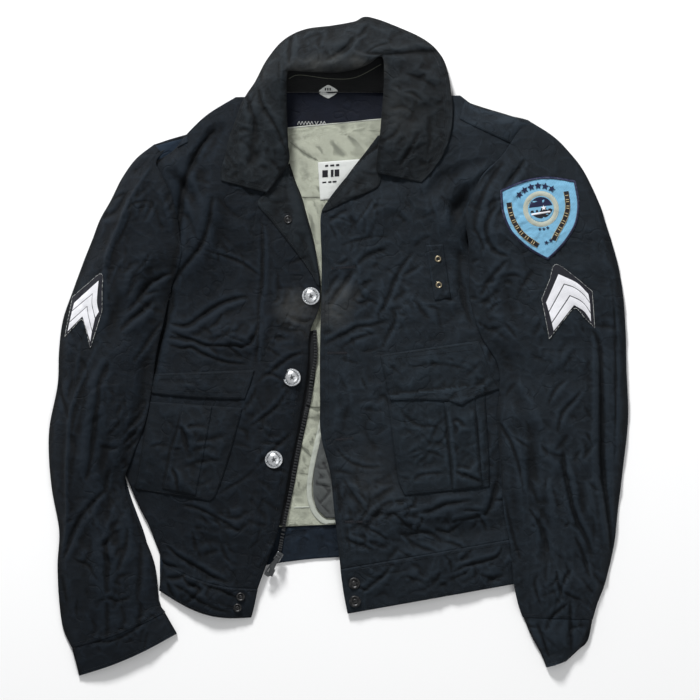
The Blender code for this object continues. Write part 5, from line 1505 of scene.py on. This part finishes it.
def buttonholes():
    """Worked buttonholes: two thick stitched lips round a slot, filled with a black strip as painted shade."""
    lips, slots = Joined(), Joined()
    for (ax, ay), (bx, by) in BUTTONHOLES:
        way = np.array([bx - ax, by - ay], float)
        way /= np.hypot(*way)
        side = np.array([-way[1], way[0]])
        a, b = np.array([ax, ay], float), np.array([bx, by], float)
        # Painted shade: a black strip lies in each slot.
        stitch_row(slots, [tuple(a), tuple((a + b) / 2), tuple(b)], ["front_left"], 12, 0.1, 2.0,
                   0.35)
        for s in (-1.3, 1.3):
            steps = int(math.dist(a, b) / 1.1)
            for k in range(steps):
                spot = a + (b - a) * (k + 0.5) / steps
                start, end = spot + side * s * 0.7, spot + side * s * 1.7
                stitch_row(lips, [tuple(start), tuple((start + end) / 2), tuple(end)], ["front_left"],
                           1.6, 0.0, 0.75, 0.45)
    lips.finish("buttonhole_stitches", "stitch", "shell")
    slots.finish("buttonhole_slot_shade", "black", "inner_navy")


BUTTONHOLES = [
    ((-9, 99), (21, 101)), ((-14, -8), (11, -8)), ((-4, -118), (19, -116)), ((8, -222), (40, -222)),
]


def legs(left, corner, right, count=12):
    """Even points down one leg of a chevron line and up the other."""
    first = [np.array(left) + (np.array(corner) - np.array(left)) * k / count for k in range(count)]
    second = smooth_route([corner, *right], 1.0)
    second = second[np.linspace(0, len(second) - 1, count + 1).round().astype(int)]
    return np.vstack([np.array(first), second])


CHEVRONS = {
    "chevron_left": [
        ((262.1, 56.4), (277.6, 92.1), [(290, 86.8), (303, 80), (315.8, 67.3)]),
        ((265.9, 43.9), (285.2, 79.0), [(298.3, 74.7), (310, 65.8), (318, 55.6)]),
        ((269.5, 30.1), (292.5, 64.4), [(305.6, 58.5), (313, 51.5), (318.8, 42.5)]),
        ((272.0, 19.2), (298.1, 51.9), [(309.2, 45.2), (315, 38.5), (319.5, 30.9)]),
    ],
    "chevron_right": [
        ((-334.6, 56.1), (-302.9, 84.1), [(-304.4, 68), (-304.9, 55.5), (-302.5, 44.5)]),
        ((-337.3, 45.5), (-311.0, 66.8), [(-311.7, 60), (-311.5, 52), (-307.7, 36.2)]),
        ((-340.7, 31.0), (-317.9, 50.9), [(-317.2, 45), (-316, 38.2), (-311.5, 19.7)]),
        ((-343.2, 18.7), (-324.2, 37.6), [(-321, 28), (-317.5, 17), (-313.9, 5.8)]),
    ],
}


def chevrons():
    for node, columns, corner, sleeve in (
        ("chevron_left", 3, (268, 13), "sleeve_left"),
        ("chevron_right", 3, (-345, 15), "sleeve_right"),
    ):
        sew_on(node, columns, corner, "plain", 110, TRIM, "backing", [sleeve], 0.1, 1.5,
               1.07)
        rows = SEWN[node]
        edge = np.vstack([rows[:, 0], rows[-1, 1:-1], rows[::-1, -1], rows[0, ::-1]])[::3, :2]
        trim = Joined()
        band(trim, [tuple(p) for p in edge] + [tuple(edge[0])], 0.6, 0.35, [node, sleeve], True,
             1.2, 3)
        trim.finish(node + "_edge", "stitch_pale", "patch_white")
        white = Joined()
        lines = [legs(*line) for line in CHEVRONS[node]]
        for a, b in zip(lines, lines[1:]):
            strip(white, a, b, 0.9, [node, sleeve], 0.75)
        white.finish(node + "_bands", "white", "patch_white")


def shield_spot(along, up):
    turn = math.radians(7.5)
    return (256 + along * math.cos(turn) - up * math.sin(turn),
            176 + along * math.sin(turn) + up * math.cos(turn))


def star(radius, centre, turn=0.0, inner=0.42):
    spots = []
    for k in range(10):
        angle = math.radians(90 + 36 * k) + turn
        r = radius if k % 2 == 0 else radius * inner
        spots.append((centre[0] + r * math.cos(angle), centre[1] + r * math.sin(angle)))
    return spots


def disc(radius, centre, count=40):
    return [(centre[0] + radius * math.cos(math.tau * k / count),
             centre[1] + radius * math.sin(math.tau * k / count)) for k in range(count)]


def shield():
    """Shoulder patch: blue ground, corded border, round seal with a star, ribbons and small stars."""
    sew_on("shield_patch", 6, (206, 197), "plain", 120, TRIM, "blue",
           ["sleeve_left"], 0.3, 1.2)
    over = ["shield_patch", "sleeve_left"]
    rows = SEWN["shield_patch"]
    edge = np.vstack([rows[:, 0], rows[-1, 1:-1], rows[::-1, -1], rows[0, ::-1]])[::4, :2]
    border = Joined()
    band(border, [tuple(p) for p in edge] + [tuple(edge[0])], 2.9, 1.3, over, True, 1.2)
    border.finish("shield_border", "border", "inner_navy")

    centre = (256, 174)
    ring, inside, sky, ground_marks = Joined(), Joined(), Joined(), Joined()
    circle = disc(19.6, centre, 28)
    band(ring, circle + [circle[0]], 6.2, 0.55, over, True)
    ring.finish("shield_seal_ring", "sand", "patch_white")
    plate(inside, disc(15.8, centre), 0.35, over)
    inside.finish("shield_seal", "blue", "patch_blue")
    tilt = math.radians(7.5)
    arc = [(centre[0] + 15.2 * math.cos(a + tilt), centre[1] + 15.2 * math.sin(a + tilt))
           for a in [math.radians(d) for d in range(12, 169, 6)]]
    plate(sky, arc, 0.65, over)
    for x, half in ((-11.5, 2.6), (-5.4, 1.8), (3.2, 4.4), (11, 2.4)):
        tall = 4.5 if half > 3 else 2.8
        spots = [
            (x - half, -3.5), (x + half, -3.5),
            (x + half * 0.6, -3.5 + tall), (x - half * 0.6, -3.5 + tall),
        ]
        plate(ground_marks, [(centre[0] + a * math.cos(tilt) - b * math.sin(tilt),
                              centre[1] + a * math.sin(tilt) + b * math.cos(tilt)) for a, b in spots], 0.7, over)
    low = [(centre[0] + 15.0 * math.cos(a + tilt), centre[1] + 15.0 * math.sin(a + tilt))
           for a in [math.radians(d) for d in range(200, 341, 7)]]
    plate(ground_marks, [(x, y + 3.2) for x, y in low], 0.5, over)
    sky.finish("shield_seal_sky", "border", "inner_navy")
    ground_marks.finish("shield_seal_shapes", "black", "inner_navy")
    white = Joined()
    plate(white, star(3.6, (centre[0] + 3.4, centre[1] + 1.4), tilt), 1.1, over)
    wave = [(centre[0] - 12 + t, centre[1] - 7.2 + 0.16 * t) for t in range(0, 25, 3)]
    band(white, wave, 3.0, 0.9, over)
    white.finish("shield_seal_star", "white", "patch_white")

    ribbons, gold = Joined(), Joined()
    for route in (SHIELD_RIBBON_LEFT, SHIELD_RIBBON_RIGHT):
        band(ribbons, route, 6.6, 0.5, over)
        points = smooth_route(route, 3.0)
        for i in range(2, len(points) - 2):
            ahead = points[i + 1] - points[i - 1]
            ahead = ahead / np.hypot(*ahead)
            side = np.array([-ahead[1], ahead[0]])
            spot = points[i]
            if i % 3:
                stitch_row(gold, [tuple(spot - side * 1.9), tuple(spot), tuple(spot + side * 1.9)],
                           over, 1.9, 0.0, 1.5, 0.95)
        for s in (-1, 1):
            shifted = []
            for i in range(len(points)):
                ahead = points[min(i + 1, len(points) - 1)] - points[max(i - 1, 0)]
                ahead = ahead / np.hypot(*ahead)
                shifted.append(tuple(points[i] + np.array([-ahead[1], ahead[0]]) * 3.0 * s))
            band(gold, shifted, 0.6, 0.8, over, False, 1.6, 3)
    ribbons.finish("shield_ribbons", "black", "inner_navy")
    gold.finish("shield_gold_thread", "gold", "brass")
    stars = Joined()
    for k in range(6):
        angle = math.radians(132 - 15.5 * k) + tilt
        spot = (centre[0] - 2 + 33.5 * math.cos(angle), centre[1] - 4 + 33.5 * math.sin(angle))
        plate(stars, star(4.7, spot, angle - math.pi / 2, 0.5), 0.8, over)
    for along, up, size in (
        (-5, -27, 2.2), (0, -27.5, 2.2), (5, -26.6, 2.2), (1, -45, 3.0), (7, -43, 3.0),
    ):
        plate(stars, star(size, shield_spot(along, up)), 0.8, over)
    stars.finish("shield_stars", "border", "inner_navy")


SHIELD_RIBBON_LEFT = [
    (215.5, 182), (217, 172), (221, 159.5), (228, 147.5), (236.5, 138.5), (247, 131), (252.5, 127.5),
]
SHIELD_RIBBON_RIGHT = [
    (288, 196.5), (289.5, 186), (290, 175), (286.5, 162), (280.5, 150.5), (275, 141), (272, 134.5),
]


def label_marks():
    """Plain woven blocks and bars on the two labels, in place of any wording."""
    bold = Joined()
    over = ["neck_label", "back_lining"]
    for x, y, wide, tall in ((-17, 219, 7, 9), (-8, 219.5, 3.5, 9), (-2, 220, 6, 9),
                             (-15, 229, 4, 2.4), (-8, 229.5, 5, 2.4), (-1, 230, 4, 2.4),
                             (-18, 208, 5, 2), (-11, 208.5, 4, 2), (-5, 209, 5, 2)):
        plate(bold, [(x - wide / 2, y - tall / 2), (x + wide / 2, y - tall / 2 + 0.4),
                     (x + wide / 2, y + tall / 2 + 0.4), (x - wide / 2, y + tall / 2)], 0.35, over)
    over = ["size_label"]
    for x, y in ((-16.5, 326), (-13.5, 326), (-10.5, 326)):
        plate(bold, [(x - 0.9, y - 1.6), (x + 0.9, y - 1.6), (x + 0.9, y + 1.6), (x - 0.9, y + 1.6)],
              0.15, over)
    bold.finish("label_marks", "black", "label")


# ---- Metal parts -----------------------------------------------------------------------------

def turned(name, profile, place, count, look, node=None):
    """Round part raised ring by ring from its base; the profile holds radius and height in mm."""
    centre = [c * METRE for c in place]
    bpy.ops.object.select_all(action="DESELECT")
    bpy.ops.mesh.primitive_circle_add(
        vertices=count, radius=profile[0][0] * METRE, fill_type="NGON", location=centre
    )
    thing = bpy.context.object
    thing.name = name
    bpy.ops.object.mode_set(mode="EDIT")
    bpy.ops.mesh.select_all(action="SELECT")
    for (r0, z0), (r1, z1) in zip(profile, profile[1:]):
        bpy.ops.mesh.extrude_region_move(
            TRANSFORM_OT_translate={"value": (0, 0, (z1 - z0) * METRE)}
        )
        bpy.ops.transform.resize(value=(r1 / r0, r1 / r0, 1), center_override=centre)
    bpy.ops.mesh.select_all(action="SELECT")
    bpy.ops.mesh.normals_make_consistent(inside=False)
    bpy.ops.object.mode_set(mode="OBJECT")
    return hard(thing, look, node)


def hard(thing, look, node=None, body="jacket", angle=40):
    """Finish of a hard piece: its place in the mesh, its edges, material and body."""
    only(thing)
    bpy.ops.object.transform_apply(location=True, rotation=True, scale=True)
    bpy.ops.object.shade_smooth_by_angle(angle=math.radians(angle))
    thing.data.materials.clear()
    thing.data.materials.append(finish[look])
    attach(thing, body)
    if node:
        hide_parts(node)
    return thing


def repeated(name, model, places, look):
    """Copies of one small model at many places, joined in one piece."""
    copies = []
    for place in places:
        copy = bpy.data.objects.new(name, model.data.copy())
        copy.data.transform(place)
        bpy.context.scene.collection.objects.link(copy)
        copies.append(copy)
    bpy.ops.object.select_all(action="DESELECT")
    for copy in copies:
        copy.select_set(True)
    bpy.context.view_layer.objects.active = copies[0]
    bpy.ops.object.join()
    thing = copies[0]
    thing.name = name
    return hard(thing, look)


def small_block(size, bevel):
    """A bevelled block at the origin, as a model for copies."""
    bpy.ops.object.select_all(action="DESELECT")
    bpy.ops.mesh.primitive_cube_add(size=1, location=(0, 0, 0))
    thing = bpy.context.object
    thing.scale = [s * METRE for s in size]
    bpy.ops.object.transform_apply(scale=True)
    bpy.ops.object.mode_set(mode="EDIT")
    bpy.ops.mesh.select_all(action="SELECT")
    bpy.ops.mesh.bevel(offset=bevel * METRE, segments=2, affect="EDGES")
    bpy.ops.object.mode_set(mode="OBJECT")
    return thing


def spot_on(x, y, over, turn=0.0, lift=0.0):
    z = top_of(over, x, y) + lift
    return Matrix.Translation(Vector((x, y, z)) * METRE) @ Matrix.Rotation(turn, 4, "Z")


def seat(node, over, reach):
    """Centre of a CAD fastener in mm, set on the cloth below it."""
    low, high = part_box(node)
    x, y = (low[0] + high[0]) / 2 / METRE, (low[1] + high[1]) / 2 / METRE
    ring = [top_of(over, x + dx * reach, y + dy * reach, low[2] / METRE)
            for dx, dy in ((0, 0), (1, 0), (-1, 0), (0, 1), (0, -1))]
    return x, y, sum(ring) / len(ring) - 0.3


BUTTON = [(9.2, 0), (11.25, 0.3), (11.25, 1.3), (10.9, 1.75), (10.2, 1.9), (9.7, 1.6), (9.3, 1.7),
          (8.9, 2.5), (8.0, 3.5), (6.6, 4.4), (4.8, 5.0), (2.6, 5.35), (0.8, 5.5)]
SNAP = [(4.6, 0), (5.5, 0.3), (5.5, 1.5), (5.1, 2.2), (4.3, 2.5), (3.6, 2.2), (3.1, 1.4), (2.5, 1.2),
        (2.2, 1.7), (1.6, 2.1), (0.7, 2.2)]


def dome_height(radius):
    for (r0, z0), (r1, z1) in zip(BUTTON[7:], BUTTON[8:]):
        if r1 <= radius <= r0:
            return z1 + (z0 - z1) * (radius - r1) / (r0 - r1)
    return BUTTON[-1][1]


def buttons():
    """Domed silver buttons with a roped rim, a raised star and a ring of small bars."""
    bead = small_block((0.9, 1.0, 0.8), 0.25)
    bar = small_block((1.0, 2.5, 0.9), 0.25)
    for number in (1, 2, 3):
        node = "button_%d" % number
        over = ["front_right", "back_lining"]
        x, y, z = seat(node, over, 8)
        turned(node + "_dome", BUTTON, (x, y, z), 48, "silver", node)
        lean = math.radians((-8, -14, -20)[number - 1])
        beads, bars = [], []
        for k in range(44):
            angle = math.tau * k / 44
            place = Vector((x + 10.4 * math.cos(angle), y + 10.4 * math.sin(angle), z + 1.8)) * METRE
            beads.append(Matrix.Translation(place) @ Matrix.Rotation(angle + 0.6, 4, "Z"))
        for k in range(22):
            angle = math.tau * k / 22
            if abs(math.sin(angle)) < 0.25:
                continue
            spot = Vector((x + 7.4 * math.cos(angle), y + 7.4 * math.sin(angle), z + dome_height(7.4)))
            bars.append(
                Matrix.Translation(spot * METRE) @ Matrix.Rotation(angle + math.pi / 2, 4, "Z")
                @ Matrix.Rotation(math.radians(-40), 4, "X")
            )
        repeated(node + "_rope", bead, beads, "silver")
        repeated(node + "_bars", bar, bars, "engraved")
        raised_star(node + "_star", (x, y, z + dome_height(4.4) - 0.25), 5.2, lean)
    for model in (bead, bar):
        bpy.data.objects.remove(model)


def raised_star(name, place, radius, lean):
    centre = [c * METRE for c in place]
    bpy.ops.object.select_all(action="DESELECT")
    bpy.ops.mesh.primitive_circle_add(
        vertices=10, radius=radius * METRE, fill_type="NGON", location=centre
    )
    thing = bpy.context.object
    thing.name = name
    bpy.ops.object.mode_set(mode="EDIT")
    shape = bmesh.from_edit_mesh(thing.data)
    bpy.ops.mesh.select_mode(type="VERT")
    for index, vertex in enumerate(shape.verts):
        vertex.select_set(index % 2 == 1)
    shape.select_flush(True)
    bmesh.update_edit_mesh(thing.data)
    bpy.ops.transform.resize(value=(0.45, 0.45, 1), center_override=centre)
    bpy.ops.mesh.select_all(action="SELECT")
    bpy.ops.mesh.extrude_region_move(TRANSFORM_OT_translate={"value": (0, 0, 0.9 * METRE)})
    bpy.ops.transform.resize(value=(0.6, 0.6, 1), center_override=centre)
    bpy.ops.transform.rotate(value=lean, orient_axis="Z", center_override=centre)
    bpy.ops.mesh.select_all(action="SELECT")
    bpy.ops.mesh.normals_make_consistent(inside=False)
    bpy.ops.object.mode_set(mode="OBJECT")
    return hard(thing, "engraved")


def snaps():
    """Press snaps: a ring with a socket, the waist ones on the left larger."""
    for node, scale, over in (
        ("neck_snap", 1.0, ["lapel_right", "front_right", "back_lining"]),
        ("waist_snap_right_1", 1.0, ["waistband_right"]),
        ("waist_snap_right_2", 1.0, ["waistband_right"]),
        ("waist_snap_left_1", 15 / 11, ["waistband_left"]),
        ("waist_snap_left_2", 15 / 11, ["waistband_left"]),
    ):
        profile = [(r * scale, h * (0.8 + 0.2 * scale)) for r, h in SNAP]
        turned(node + "_ring", profile, seat(node, over, 4), 36, "enamel", node)


def eyelets():
    """Brass eyelets: a rolled ring round a black disc, painted shade in the hole."""
    for number in (1, 2):
        node = "eyelet_%d" % number
        x, y, z = seat(node, ["badge_tab"], 3)
        centre = Vector((x, y, z + 0.6)) * METRE
        bpy.ops.object.select_all(action="DESELECT")
        bpy.ops.mesh.primitive_torus_add(
            location=centre, major_radius=3.1 * METRE, minor_radius=1.1 * METRE,
            major_segments=36, minor_segments=12,
        )
        hard(bpy.context.object, "brass", node).name = node + "_ring"
        # Painted shade: a black disc fills the hole.
        turned(node + "_hole", [(2.6, 0), (2.6, 0.45)], (x, y, z), 24, "enamel")


ZIP_LINE = [(-30, 20), (-29, -13), (-34, -41), (-36, -64), (-40, -78), (-49, -120), (-59, -174),
            (-70, -233), (-75, -261)]


def zip_chain():
    """Moulded teeth along the tape, down to the slider."""
    tooth = small_block((4.8, 2.3, 2.4), 0.5)
    over = ["zip_tape", "back_lining", "back_waistband", "front_right"]
    points = smooth_route(ZIP_LINE, 3.6)
    places = []
    for i in range(len(points)):
        ahead = points[min(i + 1, len(points) - 1)] - points[max(i - 1, 0)]
        turn = math.atan2(ahead[1], ahead[0]) + math.pi / 2
        places.append(spot_on(*points[i], over, turn, 1.0))
    repeated("zip_teeth", tooth, places, "teeth")
    bpy.data.objects.remove(tooth)


def carried_over():
    """The slider, its pull and the box keep their CAD shapes with a worn plated finish."""
    for node in ("zip_slider", "zip_pull", "zip_box"):
        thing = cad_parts[node]
        for place in thing.material_slots:
            place.material = finish["gunmetal"]


# ---- Set -------------------------------------------------------------------------------------

def area_light(name, place, aim, size, power, colour=(1, 1, 1)):
    lamp = bpy.data.lights.new(name, "AREA")
    lamp.shape = "DISK"
    lamp.size = size
    lamp.energy = power
    lamp.color = colour
    thing = bpy.data.objects.new(name, lamp)
    thing.location = place
    thing.rotation_euler = (Vector(aim) - Vector(place)).to_track_quat("-Z", "Y").to_euler()
    bpy.context.scene.collection.objects.link(thing)


def set_up():
    """Pale floor, soft light from the neck side, and a camera straight above."""
    low = cad_box[0][2]
    bpy.ops.object.select_all(action="DESELECT")
    bpy.ops.mesh.primitive_plane_add(size=14, location=(0, 0, low - 0.0002))
    floor = bpy.context.object
    floor.name = "floor"
    floor.data.materials.append(paper("floor_paper", (0.93, 0.93, 0.93)))
    world = bpy.data.worlds.new("studio")
    bpy.context.scene.world = world
    world.use_nodes = True
    world.node_tree.nodes["Background"].inputs["Color"].default_value = (0.98, 0.99, 1.0, 1.0)
    world.node_tree.nodes["Background"].inputs["Strength"].default_value = 0.42
    area_light("key", (-0.7, 2.5, 1.5), (0, 0, 0), 0.7, 125)
    area_light("fill", (1.6, -1.0, 2.2), (0, 0, 0), 2.0, 12)
    camera = bpy.data.cameras.new("camera")
    camera.lens = 250
    camera.sensor_width = 36
    thing = bpy.data.objects.new("camera", camera)
    thing.location = (0.0146, -0.0043, 6.17)
    bpy.context.scene.collection.objects.link(thing)
    bpy.context.scene.camera = thing
    bpy.context.scene.view_settings.view_transform = "Standard"


def main():
    linings()
    fronts()
    sleeves()
    collar()
    chevrons()
    shield()
    label_marks()
    buttonholes()
    seams()
    buttons()
    snaps()
    eyelets()
    zip_chain()
    carried_over()
    set_up()


main()
